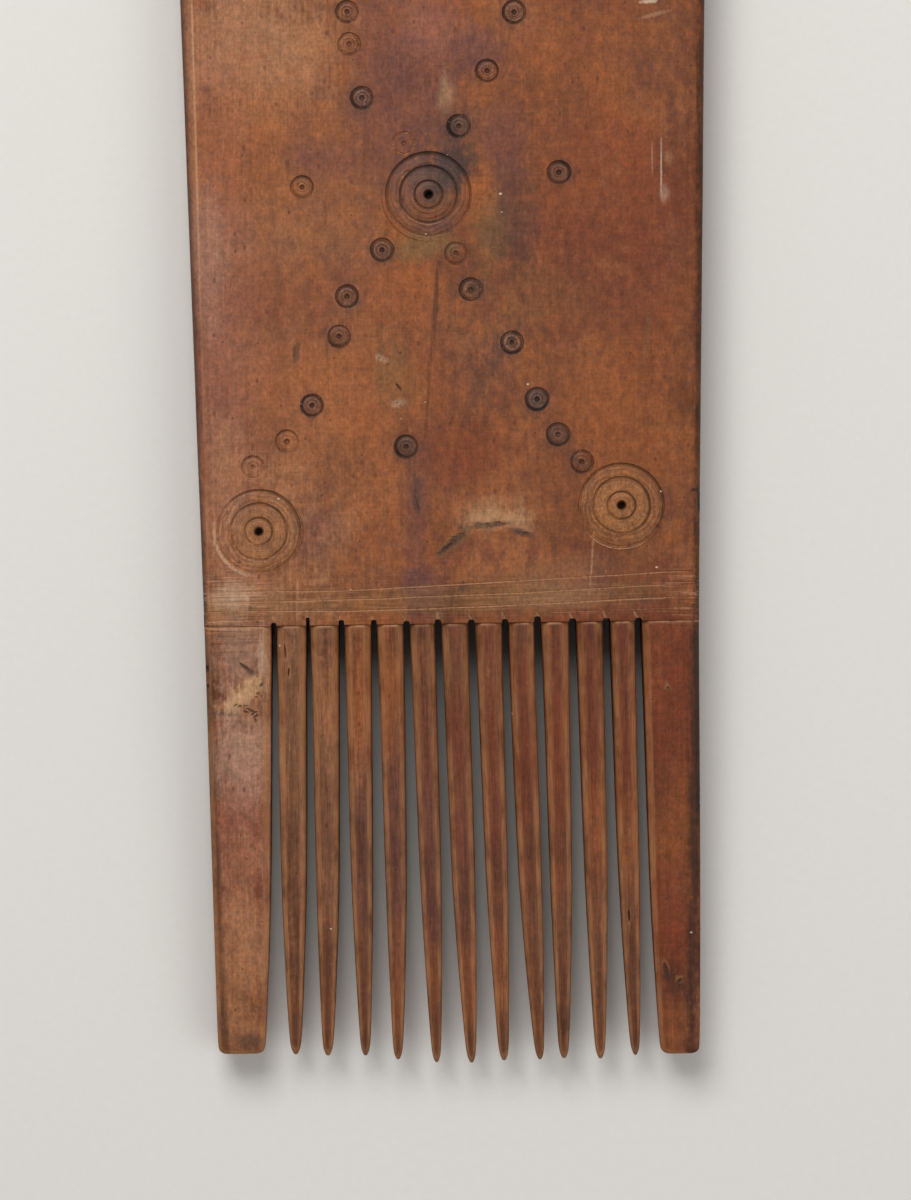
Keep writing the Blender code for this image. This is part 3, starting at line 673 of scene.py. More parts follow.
def stains_effect(stain: bpy.types.NodeTree, rows: Sequence[Stain]) -> bpy.types.NodeTree:
    """Makes the wood's stains, laid one over the other on the colour that comes in."""
    effect = Effect("stains", ["Vector", "Colour"], ["Colour"])
    place = effect.take("Vector")
    ragged: Feed = 0.0
    for cloud, push in RAGGED:
        centred = effect.sum("SUBTRACT", effect.cloud(place, cloud), NOISE_MEAN)
        ragged = effect.sum("MULTIPLY_ADD", centred, push, ragged)
    waver = effect.node("CombineXYZ", {0: effect.times(ragged, WAVER)}).outputs[0]
    place = effect.vector("ADD", place, waver)
    colour = effect.take("Colour")
    for row in rows:
        node = effect.oval(stain, place, (row.x, row.y, row.height), (row.across, row.along),
                           Turn=-math.radians(row.turn), Softness=row.softness, Ragged=ragged)
        node.label = row.name
        strength = effect.times(node.outputs[0], min(1.0, STAIN_GAIN * row.strength))
        colour = effect.mix(strength, colour, row.tint.value)
    effect.give("Colour", colour)
    return effect.tree


def specks_effect() -> bpy.types.NodeTree:
    """Makes scattered specks of one size, of which only a share is kept."""
    effect = Effect("specks", ["Vector", "Spacing Vector", "Size", "Share"], ["Mask"])
    cells = effect.vector("DIVIDE", effect.take("Vector"), effect.take("Spacing Vector"))
    voronoi = effect.node("TexVoronoi", {"Vector": cells, "Scale": 1.0})
    chance = effect.node("SeparateXYZ", {0: voronoi.outputs["Color"]})
    size = effect.times(effect.take("Size"), effect.sum("ADD", chance.outputs[1], LEAST_SPECK))
    dot = effect.step(voronoi.outputs["Distance"], size, effect.times(size, SPECK_CORE))
    kept = effect.sum("LESS_THAN", chance.outputs[0], effect.take("Share"))
    effect.give("Mask", effect.times(dot, kept))
    return effect.tree


@dataclass(frozen=True)
class RubAndHighlightArc:
    """A pale arc on the rim of a large groove: partly bare wood worn through by rubbing, partly painted
    highlight where the groove's lower wall would catch the light.

    Attributes:
        motif: The number of the large motif.
        radius: The arc's radius in millimetres.
        width: Its half width in millimetres.
        bearing: Its middle, in degrees from +X.
        spread: How far it reaches to each side, in degrees.
        strength: How pale it is, from 0 to 1.
    """

    motif: int
    radius: float
    width: float
    bearing: float
    spread: float
    strength: float


# Most lie on the lower side of a ring, where a lit groove wall shows pale: painted highlight, with some
# rubbing.
RUB_AND_HIGHLIGHT_ARCS = tuple(RubAndHighlightArc(*row) for row in (
    (0, 4.2, 0.12, 258.0, 62.0, 0.4), (0, 6.0, 0.1, 245.0, 60.0, 0.3), (1, 6.22, 0.36, 215.0, 58.0, 0.8),
    (1, 4.2, 0.1, 275.0, 40.0, 0.4), (2, 6.12, 0.12, 262.0, 52.0, 0.7), (3, 6.0, 0.12, 200.0, 50.0, 0.5),
    (4, 4.15, 0.1, 280.0, 50.0, 0.5)))


# Ramps, which turn a value into a share: (start, end) or (start, end, low, high). The first
# of these are heights and distances from the centre of a large motif, in millimetres.
FRONT_HEIGHTS = (8.6, 9.2)
GROUND_RIM = (6.1, 5.85)
GROUND_HEART = (4.3, 4.0, 0.6, 1.0)
MARKS_RIM = (6.2, 5.7)
# An arc is full strength over this share of its width and spread.
ARC_CORE, ARC_SPREAD_CORE = 0.3, 0.35


def turned_effect(rings: Sequence[tuple[Vector, float]]) -> bpy.types.NodeTree:
    """Makes the marks that the turned tool left in the large rings, and the tone of their grounds.

    Args:
        rings: Each large motif's centre, in metres, and how dark its ground is.

    Returns:
        A group that gives a mask of the rings, the marks in them, how dark their grounds are,
        and the pale arcs, which are partly rubbing and partly painted highlight.
    """
    effect = Effect("turned_marks", ["Vector"], ["Mask", "Marks", "Ground", "Rubbed"])
    place = effect.take("Vector")
    flat = effect.vector("MULTIPLY", place, (1.0, 1.0, 0.0))
    front = effect.step(effect.node("SeparateXYZ", {0: place}).outputs[2], *FRONT_HEIGHTS)
    offsets = [effect.vector("SUBTRACT", flat, (centre.x / MM, centre.y / MM, 0.0)) for centre, _ in rings]
    radii = [effect.measure("LENGTH", offset) for offset in offsets]
    nearest, ground, rub_and_highlight = radii[0], 0.0, 0.0
    for radius, (_, dark) in zip(radii, rings):
        nearest = effect.sum("MINIMUM", nearest, radius)
        inside = effect.times(effect.step(radius, *GROUND_RIM), effect.step(radius, *GROUND_HEART))
        ground = effect.sum("MULTIPLY_ADD", inside, dark, ground)
    for arc in RUB_AND_HIGHLIGHT_ARCS:
        bearing = math.radians(arc.bearing)
        outward = effect.vector("NORMALIZE", offsets[arc.motif])
        facing = effect.measure("DOT_PRODUCT", outward, (math.cos(bearing), math.sin(bearing), 0.0))
        facing = effect.step(facing, *(math.cos(math.radians(share * arc.spread))
                                       for share in (1.0, ARC_SPREAD_CORE)))
        aside = effect.sum("ABSOLUTE", effect.sum("SUBTRACT", radii[arc.motif], arc.radius))
        line = effect.times(effect.step(aside, arc.width, ARC_CORE * arc.width), facing)
        rub_and_highlight = effect.sum("MAXIMUM", rub_and_highlight, effect.times(line, arc.strength))
    wobble = effect.times(effect.cloud(place, WOBBLE), WOBBLE_REACH)
    effect.give("Mask", effect.times(effect.step(nearest, *MARKS_RIM), front))
    effect.give("Marks", effect.ripples(effect.sum("ADD", nearest, wobble), *TURNED_RIPPLES))
    effect.give("Ground", effect.times(ground, front))
    effect.give("Rubbed", effect.times(rub_and_highlight, front))
    return effect.tree


@dataclass(frozen=True)
class WoodFinish:
    """How one part of the comb is finished: its body tones and how strongly each effect shows."""

    name: str
    shade: Colour
    body: Colour
    light: Colour
    warm: Colour = tone(150, 83, 39)
    cool: Colour = tone(108, 58, 42)
    streaks: float = 0.15
    cross: float = 0.15
    mottle: float = 0.56
    patches: float = 0.34
    soil: float = 0.44
    wear_and_highlight: float = 0.55
    roughness: float = 0.5
    relief: float = 0.6


PANEL_WOOD = WoodFinish("panel_wood", tone(110, 59, 32), tone(128, 72, 38), tone(146, 87, 50))
GUARD_WOOD = WoodFinish("guard_wood", tone(108, 57, 30), tone(124, 69, 37), tone(142, 87, 53),
                        streaks=0.22, mottle=0.34, soil=0.46)
TOOTH_WOOD = WoodFinish("tooth_wood", tone(82, 44, 26), tone(95, 54, 32), tone(108, 65, 41),
                        streaks=0.58, cross=0.08, mottle=0.2, patches=0.14, soil=0.34, wear_and_highlight=0.7)

# Worn wood, which on the teeth's chamfers and the front's left arris is also painted highlight.
WORN_AND_HIGHLIGHT = tone(176, 122, 82)
# Soil, which in the grooves, dents and hollows also stands for their painted shade.
GRIME_AND_SHADE = tone(36, 26, 23)
DISC = tone(96, 72, 62)
PALE_DISC = tone(164, 112, 66)
# Bare wood, which along the left bevel's upper arris is also painted highlight.
FRESH_AND_HIGHLIGHT = tone(202, 154, 118)
HAIR = tone(194, 152, 120)
SCRATCH = tone(74, 45, 31)


@dataclass(frozen=True)
class Flecks:
    """Scattered flecks.

    Attributes:
        spacing: How far apart they can be along each axis, in millimetres.
        size: Their size, as a share of the spacing.
        share: How many of the possible flecks there are, from 0 to 1.
        strength: How strongly they show.
        tint: Their colour.
    """

    spacing: tuple[float, float, float]
    size: float
    share: float
    strength: float
    tint: Colour


RUST = Flecks((1.5, 2.3, 2.0), 0.17, 0.4, 0.55, tone(84, 36, 26))
PITS = Flecks((1.9, 2.2, 2.4), 0.08, 0.7, 0.66, tone(54, 30, 24))
HAIRS = Flecks((1.25, 46.0, 5.0), 0.075, 0.22, 0.3, HAIR)
SCUFFS = Flecks((19.0, 0.6, 5.0), 0.09, 0.5, 1.0, HAIR)
DUST = Flecks((3.6, 2.6, 2.8), 0.055, 0.34, 0.85, tone(222, 196, 168))

# Where the wood is scratched across: the zones' softness, and each one's place, reach, strength.
ZONE_SOFT = 0.5
SCUFF_ZONES = (((0.0, -56.6), (40.0, 2.8), 0.24), ((-31.0, -57.6), (5.0, 5.0), 1.0),
               ((0.0, 55.3), (40.0, 3.0), 0.4), ((32.4, -56.6), (3.4, 3.6), 0.6))

# The tones that the clouds bring to the body.
TO_BODY, TO_LIGHT = (0.32, 0.52), (0.5, 0.7)
# Which parts of the figure turn the body warm or cool, how strongly, and by which ramps.
TINTING = (("Mottle", 1.0, (0.5, 0.68), (0.5, 0.32)), ("Patches", 0.6, (0.52, 0.7), (0.48, 0.3)))
# How the figure darkens and lightens the wood.
FIGURE_TONES = (0.25, 0.75, 0.5, 1.48)
# The grounds of the rings: how uneven they are, and the marks of the turned tool in them.
UNEVEN_GROUND = (0.3, 0.65, 0.6, 1.1)
TURNED_TONES, TURNED_SHARE = (0.32, 0.68, 0.5, 1.45), 0.5
STAMPED_TONES, STAMPED_SHARE = (0.3, 0.7, 0.4, 1.6), 0.75
GLINT_RINGS, GLINT_SCRATCHES, GLINT_SHARE = (0.53, 0.62), (0.5, 0.62), 0.6
# Where scratches, pale arcs, worn arrises, bare wood and soil are broken up, painted highlight and shade
# among them.
BROKEN_SCUFFS = (0.3, 0.6, 0.2, 0.8)
BROKEN_RUB_AND_HIGHLIGHT = (0.3, 0.58, 0.25, 1.0)
BROKEN_MOTTLE, BROKEN_FIBRES = (0.3, 0.6, 0.3, 1.0), (0.3, 0.6, 0.5, 1.0)
BROKEN_FRESH_AND_HIGHLIGHT, FRESH_AND_HIGHLIGHT_SHARE = (0.3, 0.58, 0.45, 1.0), 0.85
BROKEN_DIRT_AND_SHADE = (0.3, 0.6, 0.5, 1.0)
PALE_CROSS, DARK_CROSS, DARK_CROSS_GAIN = (0.54, 0.66), (0.46, 0.36, 0.0, 0.5), 2.6
# How rough the wood is over its mottle, and how much rougher it is under the soil and painted shade.
GLOSS_TONES, SMOOTHER, ROUGHER, DIRT_AND_SHADE_ROUGHNESS = (0.25, 0.75), 0.08, 0.1, 0.25
# The height of streaks and fibres in the relief, and what one of its units measures.
STREAK_HEIGHT, FIBRE_HEIGHT, RELIEF_UNIT = 0.7, 0.35, 0.06 * MM
WOOD_SPECULAR = 0.25


class WoodShop:
    """Makes the comb's materials, which share one set of effects."""

    def __init__(self, rings: Sequence[tuple[Vector, float]], marks: Sequence[Stain]) -> None:
        """Makes the shared effects once.

        Args:
            rings: The centres of the large rings, and how dark their grounds are.
            marks: The stains that follow from the carving: halos, pale nicks, and the dark along the long
                sides, which on the right side is also painted shade.
        """
        stain = stain_effect()
        self.figure = figure_effect()
        self.stains = stains_effect(stain, (*STAINS, *marks))
        self.specks = specks_effect()
        self.turned = turned_effect(rings)
        self.scuff_zone = self.zone_effect(stain)

    @staticmethod
    def zone_effect(stain: bpy.types.NodeTree) -> bpy.types.NodeTree:
        """Makes the mask of where the wood is scratched across: over the guide lines."""
        effect = Effect("scuff_zone", ["Vector"], ["Mask"])
        mask: Feed = 0.0
        for place, reach, strength in SCUFF_ZONES:
            node = effect.oval(stain, effect.take("Vector"), (*place, FACE), reach, Softness=ZONE_SOFT)
            mask = effect.sum("MAXIMUM", mask, effect.times(node.outputs[0], strength))
        effect.give("Mask", mask)
        return effect.tree

    def make(self, finish: WoodFinish) -> bpy.types.Material:
        """Makes the material of one finish.

        Args:
            finish: The finish and its values.

        Returns:
            The material.
        """
        material = bpy.data.materials.new(finish.name)
        material.use_nodes = True
        coat = Coat(self, finish, Wiring(material.node_tree))
        coat.body()
        coat.grounds()
        coat.streaks()
        coat.sprinkle(RUST)
        pits = coat.sprinkle(PITS)
        coat.sprinkle(HAIRS)
        coat.scratches()
        dirt_and_shade = coat.handling()
        coat.sprinkle(DUST)
        coat.surface(material.node_tree.nodes["Principled BSDF"], pits, dirt_and_shade)
        return material


class Coat:
    """One finish while it is laid on the wood, layer over layer."""

    def __init__(self, shop: WoodShop, finish: WoodFinish, wiring: Wiring) -> None:
        """Reads the shared effects at each place on the comb.

        Args:
            shop: The shop, whose effects it uses.
            finish: The finish and its values.
            wiring: What adds nodes to the material.
        """
        self.shop = shop
        self.finish = finish
        self.wiring = wiring
        self.place = wiring.place()
        self.figure = wiring.group(shop.figure, Vector=self.place).outputs
        self.turned = wiring.group(shop.turned, Vector=self.place).outputs
        self.colour: Feed = finish.shade

    def lay(self, share: Feed, tint: Feed, blend: str = "MIX") -> None:
        """Lays a colour over what is there."""
        self.colour = self.wiring.mix(share, self.colour, tint, blend)

    def part(self, name: str, ramp: Sequence[float]) -> Socket:
        """Turns one part of the wood's figure into a share."""
        return self.wiring.step(self.figure[name], *ramp)

    def flecks(self, flecks: Flecks) -> Socket:
        """Returns the mask of scattered flecks."""
        return self.wiring.group(self.shop.specks, Vector=self.place, Size=flecks.size, Share=flecks.share,
                                 **{"Spacing Vector": flecks.spacing}).outputs[0]

    def sprinkle(self, flecks: Flecks) -> Socket:
        """Sprinkles flecks over the wood and returns their mask."""
        mask = self.flecks(flecks)
        self.lay(self.wiring.times(mask, flecks.strength), flecks.tint)
        return mask

    def body(self) -> None:
        """Lays the body tones, from shade to light, with their warm and cool mottle, and the stains."""
        finish = self.finish
        self.lay(self.part("Clouds", TO_BODY), finish.body)
        self.lay(self.part("Clouds", TO_LIGHT), finish.light)
        for name, part, warm, cool in TINTING:
            share = part * finish.mottle
            self.lay(self.part(name, (*warm, 0.0, share)), finish.warm)
            self.lay(self.part(name, (*cool, 0.0, share)), finish.cool)
        self.colour = self.wiring.group(self.shop.stains, Vector=self.place, Colour=self.colour).outputs[0]

    def grounds(self) -> None:
        """Tones the grounds of the rings and marks them as the turned tool did."""
        wiring = self.wiring
        disc = wiring.sum("ADD", wiring.attribute("disc"), self.turned["Ground"])
        uneven = self.part("Soil", UNEVEN_GROUND)
        for sign, tint in ((1.0, DISC), (-1.0, PALE_DISC)):
            share = wiring.sum("MAXIMUM", wiring.times(disc, sign), 0.0)
            self.lay(wiring.times(share, uneven, clamp=True), tint)
        marks = wiring.step(self.turned["Marks"], *TURNED_TONES)
        self.lay(wiring.times(self.turned["Mask"], TURNED_SHARE), marks, "MULTIPLY")
        stamped = wiring.attribute("stamped")
        scratches = wiring.cloud(self.place, SCRATCHES)
        radius = wiring.sum("MULTIPLY_ADD", scratches, SCRATCHES_REACH, wiring.attribute("radius"))
        ringed = wiring.ripples(radius, *STAMPED_RIPPLES)
        self.lay(wiring.times(stamped, STAMPED_SHARE), wiring.step(ringed, *STAMPED_TONES), "MULTIPLY")
        self.lay(wiring.times(wiring.step(ringed, *GLINT_RINGS), wiring.step(scratches, *GLINT_SCRATCHES),
                              stamped, GLINT_SHARE), HAIR)

    def streaks(self) -> None:
        """Darkens and lightens the wood by its figure."""
        finish = self.finish
        for name, share in (("Streaks", finish.streaks), ("Fibres", finish.streaks), ("Cross", finish.cross),
                            ("Patches", finish.patches), ("Soil", finish.soil)):
            self.lay(share, self.part(name, FIGURE_TONES), "MULTIPLY")

    def scratches(self) -> None:
        """Scratches the wood across at the guide lines, and lays pale arcs on the rims of the large grooves,
        partly rubbing and partly painted highlight.
        """
        wiring = self.wiring
        zone = wiring.group(self.shop.scuff_zone, Vector=self.place).outputs[0]
        scuffs = wiring.sum("MAXIMUM", self.flecks(SCUFFS), self.part("Cross", PALE_CROSS))
        self.lay(wiring.times(scuffs, zone, self.part("Soil", BROKEN_SCUFFS)), SCUFFS.tint)
        full = wiring.sum("MINIMUM", wiring.times(zone, DARK_CROSS_GAIN), 1.0)
        self.lay(wiring.times(self.part("Cross", DARK_CROSS), full), SCRATCH)
        # Pale arcs on the large grooves' rims: partly rubbing, partly painted highlight.
        self.lay(wiring.times(self.turned["Rubbed"], self.part("Soil", BROKEN_RUB_AND_HIGHLIGHT)), HAIR)

    def handling(self) -> Socket:
        """Lays the worn arrises, the bare cuts and the soil, with painted highlight and painted shade among
        them, and returns the mask of the soil and shade.
        """
        wiring = self.wiring
        # Worn arrises, partly painted highlight: the teeth's chamfers and the front's left arris are painted
        # pale.
        worn = wiring.times(wiring.attribute("wear_and_highlight"), self.part("Mottle", BROKEN_MOTTLE),
                            self.part("Fibres", BROKEN_FIBRES), self.finish.wear_and_highlight)
        self.lay(worn, WORN_AND_HIGHLIGHT)
        # Bare wood in the cuts, and a painted highlight along the left bevel's upper arris.
        fresh_and_highlight = wiring.times(wiring.attribute("fresh_and_highlight"), self.part("Soil", BROKEN_FRESH_AND_HIGHLIGHT), clamp=True)
        self.lay(wiring.times(fresh_and_highlight, FRESH_AND_HIGHLIGHT_SHARE), FRESH_AND_HIGHLIGHT)
        # Soil in grooves, dents and hollows, darker with depth and towards one side of each ring: partly
        # soil, partly painted shade.
        dirt_and_shade = wiring.times(wiring.attribute("dirt_and_shade"), self.part("Soil", BROKEN_DIRT_AND_SHADE), clamp=True)
        self.lay(dirt_and_shade, GRIME_AND_SHADE)
        return dirt_and_shade

    def surface(self, shader: bpy.types.Node, pits: Socket, dirt_and_shade: Socket) -> None:
        """Feeds the shader: the colour, the roughness and the relief.

        Args:
            shader: The material's shader.
            pits: The mask of the pits.
            dirt_and_shade: The mask of the soil and the painted shade.
        """
        wiring, rough = self.wiring, self.finish.roughness
        gloss = self.part("Mottle", (*GLOSS_TONES, rough - SMOOTHER, rough + ROUGHER))
        height = wiring.sum("ADD", wiring.times(self.figure["Streaks"], STREAK_HEIGHT),
                            wiring.times(self.figure["Fibres"], FIBRE_HEIGHT))
        height = wiring.sum("MULTIPLY_ADD", self.turned["Marks"], self.turned["Mask"], height)
        height = wiring.sum("SUBTRACT", height, pits)
        bump = wiring.node("Bump", {"Height": height, "Distance": RELIEF_UNIT,
                                    "Strength": self.finish.relief})
        wiring.feed(shader, {
            "Base Color": self.colour,
            "Roughness": wiring.sum("ADD", gloss, wiring.times(dirt_and_shade, DIRT_AND_SHADE_ROUGHNESS), clamp=True),
            "Normal": bump.outputs[0], "Specular IOR Level": WOOD_SPECULAR})


# Dents


# A point is in a dent below this share of its radius, squared.
DENT_HEART = 0.8
# Scattered gouges: their height, where in its part of the line each lies, how far they stray, and
# the range of their growth, depth and turn, in millimetres and degrees.
GOUGE_HEIGHT, GOUGE_PLACES, GOUGE_STRAY = 11.03, (0.1, 0.9), (0.2, 0.35)
GOUGE_GROWTH, GOUGE_DEPTHS, GOUGE_TURNS = (0.6, 1.3), (0.14, 0.26), (-25.0, 45.0)


@dataclass(frozen=True)
class Dent:
    """A shallow dent or chip: its place, size and turn in millimetres and degrees."""

    place: tuple[float, float, float]
    size: tuple[float, float, float]
    turn: float = 0.0

    def holds(self, point: Vector) -> bool:
        """Says whether a point lies in the dent."""
        angle = math.radians(self.turn)
        aside = point / MM - Vector(self.place)
        along = aside.x * math.cos(angle) + aside.y * math.sin(angle)
        across = aside.y * math.cos(angle) - aside.x * math.sin(angle)
        return (along / self.size[0]) ** 2 + (across / self.size[1]) ** 2 < DENT_HEART

    def clears(self, other: Dent) -> bool:
        """Says whether another dent is too far away to touch this one."""
        apart = (Vector(self.place) - Vector(other.place)).length
        return apart > max(self.size) + max(other.size)


def dashes(start: tuple[float, float], end: tuple[float, float], count: int, size: tuple[float, float],
           seed: int) -> list[Dent]:
    """Scatters short gouges along a line on the front face.

    Args:
        start: Where the line starts, in millimetres.
        end: Where it ends.
        count: How many gouges there are.
        size: The half length and half width of each.
        seed: What the scatter starts from.

    Returns:
        The gouges.
    """
    shuffle = random.Random(seed)
    row = []
    for index in range(count):
        share = (index + shuffle.uniform(*GOUGE_PLACES)) / count
        x, y = (near + (far - near) * share + shuffle.uniform(-stray, stray)
                for near, far, stray in zip(start, end, GOUGE_STRAY))
        grow = shuffle.uniform(*GOUGE_GROWTH)
        depth, turn = shuffle.uniform(*GOUGE_DEPTHS), shuffle.uniform(*GOUGE_TURNS)
        row.append(Dent((x, y, GOUGE_HEIGHT), (size[0] * grow, size[1] * grow, depth), turn))
    return row


PANEL_DENTS = (
    Dent((35.35, -43.6, 10.5), (0.7, 2.1, 0.8), -2.0),
    Dent((35.9, -30.5, 10.9), (0.5, 0.9, 0.5)),
    Dent((-35.2, -50.0, 10.9), (0.45, 0.8, 0.5)),
    Dent((-35.6, -22.0, 10.8), (0.4, 1.4, 0.5)),
    Dent((36.5, 22.0, 10.9), (0.5, 1.5, 0.5)),
    Dent((-21.2, -21.8, 11.05), (0.36, 1.2, 0.16), -10.0),
    Dent((-6.9, -26.9, 11.05), (0.18, 0.7, 0.32), 35.0),
    *dashes((-1.6, -50.3), (1.4, -47.9), 7, (0.5, 0.2), 4),
    *dashes((3.4, -46.6), (7.9, -46.2), 9, (0.44, 0.24), 5),
    *dashes((8.9, -47.3), (11.2, -48.0), 5, (0.44, 0.18), 6),
    *dashes((-9.6, -22.8), (-8.2, -23.6), 3, (0.4, 0.14), 7),
    *dashes((-8.0, -29.0), (-6.0, -29.4), 4, (0.34, 0.12), 8),
    *dashes((-4.7, -41.0), (-4.5, -44.4), 4, (0.16, 0.5), 9),
    Dent((27.8, -20.9, 11.1), (0.16, 2.6, 0.18), -8.0))

TOOTH_DENTS = {
    "coarse_guard_left": (
        *dashes((-30.6, -71.2), (-29.0, -71.5), 4, (0.4, 0.14), 21),
        *dashes((-29.0, -71.6), (-27.6, -72.7), 6, (0.42, 0.14), 22),
        *dashes((-27.7, -72.4), (-27.4, -73.8), 3, (0.16, 0.4), 23),
        *dashes((-26.7, -67.6), (-27.4, -70.0), 5, (0.26, 0.13), 24),
        Dent((-28.9, -65.9, 11.06), (1.2, 0.22, 0.2), -38.0),
        Dent((-34.35, -66.0, 10.5), (0.3, 0.5, 0.45)),
        Dent((-34.3, -68.4, 10.6), (0.25, 0.32, 0.4))),
    "coarse_tooth_01": (
        Dent((-23.35, -63.7, 11.0), (0.14, 1.1, 0.4), 5.0),
        Dent((-22.9, -66.6, 11.0), (0.12, 0.7, 0.35), -4.0)),
    "coarse_tooth_11": (
        Dent((24.3, -101.5, 10.9), (0.2, 0.9, 0.3), 3.0),),
    "coarse_guard_right": (
        Dent((29.4, -109.4, 11.08), (0.5, 1.3, 0.22), 12.0),
        Dent((31.3, -110.8, 11.08), (0.6, 0.4, 0.2), 40.0),
        Dent((30.2, -69.6, 11.06), (0.3, 0.3, 0.16)))}


def carve_dents(piece: Workpiece, dents: Sequence[Dent]) -> None:
    """Presses dents into a piece, a batch at a time, where no dent of a batch touches another."""
    batches: list[list[Dent]] = []
    for dent in dents:
        batch = next((batch for batch in batches if all(dent.clears(other) for other in batch)), None)
        if batch is None:
            batch = []
            batches.append(batch)
        batch.append(dent)
    for batch in batches:
        lumps = [Workpiece.pebble("dent", Vector(dent.place) * MM, Vector(dent.size) * MM,
                                  math.radians(dent.turn)) for dent in batch]
        piece.carve(join(lumps, "dents"))


# Teeth and guards


@dataclass(frozen=True)
class Chamfer:
    """A chamfer along a long edge, as shares of a section's width and thickness."""

    across: float
    down: float


# On a pattern, which is one unit wide and long, corners this near to a plane lie on it.
NEAR = 0.01


@dataclass
class ToothPattern:
    """The pattern that one kind of tooth is copied from: one unit wide, thick and long."""

    name: str
    left: Chamfer
    right: Chamfer
    rings: int
    arris: float = 0.55
    cap: float = 0.3

    def build(self) -> Workpiece:
        """Builds the pattern, with its rings evenly spaced from root to tip."""
        piece = Workpiece.block(self.name, Vector((-0.5, 0.0, -0.5)), Vector((0.5, 1.0, 0.5)))
        with piece.held():
            for hand, chamfer in ((-1, self.left), (1, self.right)):
                piece.choose(Hold.EDGES, lambda edge, hand=hand: run_of(edge) > NEAR
                             and all(v.co.x * hand > 0.5 - NEAR for v in edge.verts))
                piece.bevel(chamfer.across)
                piece.choose(Hold.CORNERS, lambda v, hand=hand: v.co.x * hand > 0.5 - NEAR)
                piece.stretch((1.0, 1.0, (0.5 - chamfer.down) / (0.5 - chamfer.across)), ALONG / 2)
            for ring in range(1, self.rings - 1):
                piece.slice(ALONG * ring / (self.rings - 1), ALONG)
            for test, crease in ((lambda edge: run_of(edge) > NEAR, self.arris),
                                 (lambda edge: all(v.co.y < NEAR for v in edge.verts), 1.0),
                                 (lambda edge: all(v.co.y > 1.0 - NEAR for v in edge.verts), self.cap)):
                piece.choose(Hold.EDGES, test)
                bpy.ops.transform.edge_crease(value=crease)
        return piece


# How a flank's bulge and a guard's flare grow and fade from root to tip.
BULGE_GROWS, BULGE_FADES, FLARE_GROWS = (0.0, 0.25), (0.7, 1.0), (0.0, 0.6)
# The rings near the tip stray by this share, and heights stray by that share of widths.
TIP_STRAY, HEIGHT_STRAY = 0.4, 0.6
# Where the strays lie in the noise: a step for each node and ring, a place for each way.
STRAY_SEED_STEP, STRAY_RING_STEP, STRAY_PLACES = 0.37, 0.83, (3.3, 7.7, 12.1)
# The tilts between which an arris is painted pale, partly worn and partly painted highlight, from the side
# to the face.
SIDE_TILTS, FACE_TILTS = (0.25, 0.5), (0.87, 0.985)
# The pale lip at the root line: how far it reaches, at which tilts, and how it is broken.
LIP_REACH, LIP_TILTS = (0.12 * MM, 0.4 * MM), (0.2, 0.6)
LIP_MEAN, LIP_SWING, LIP_RATE, LIP_MOST = 0.4, 1.4, 0.6, 0.8
# The flared side within this of its edge gets no worn and highlight paint, and stays dark.
DARK_EDGE_BAND = 0.4 * MM
# How dark a dent's hollow is painted: soil, and the painted shade of the hollow.
DENT_DIRT_AND_SHADE = 0.6


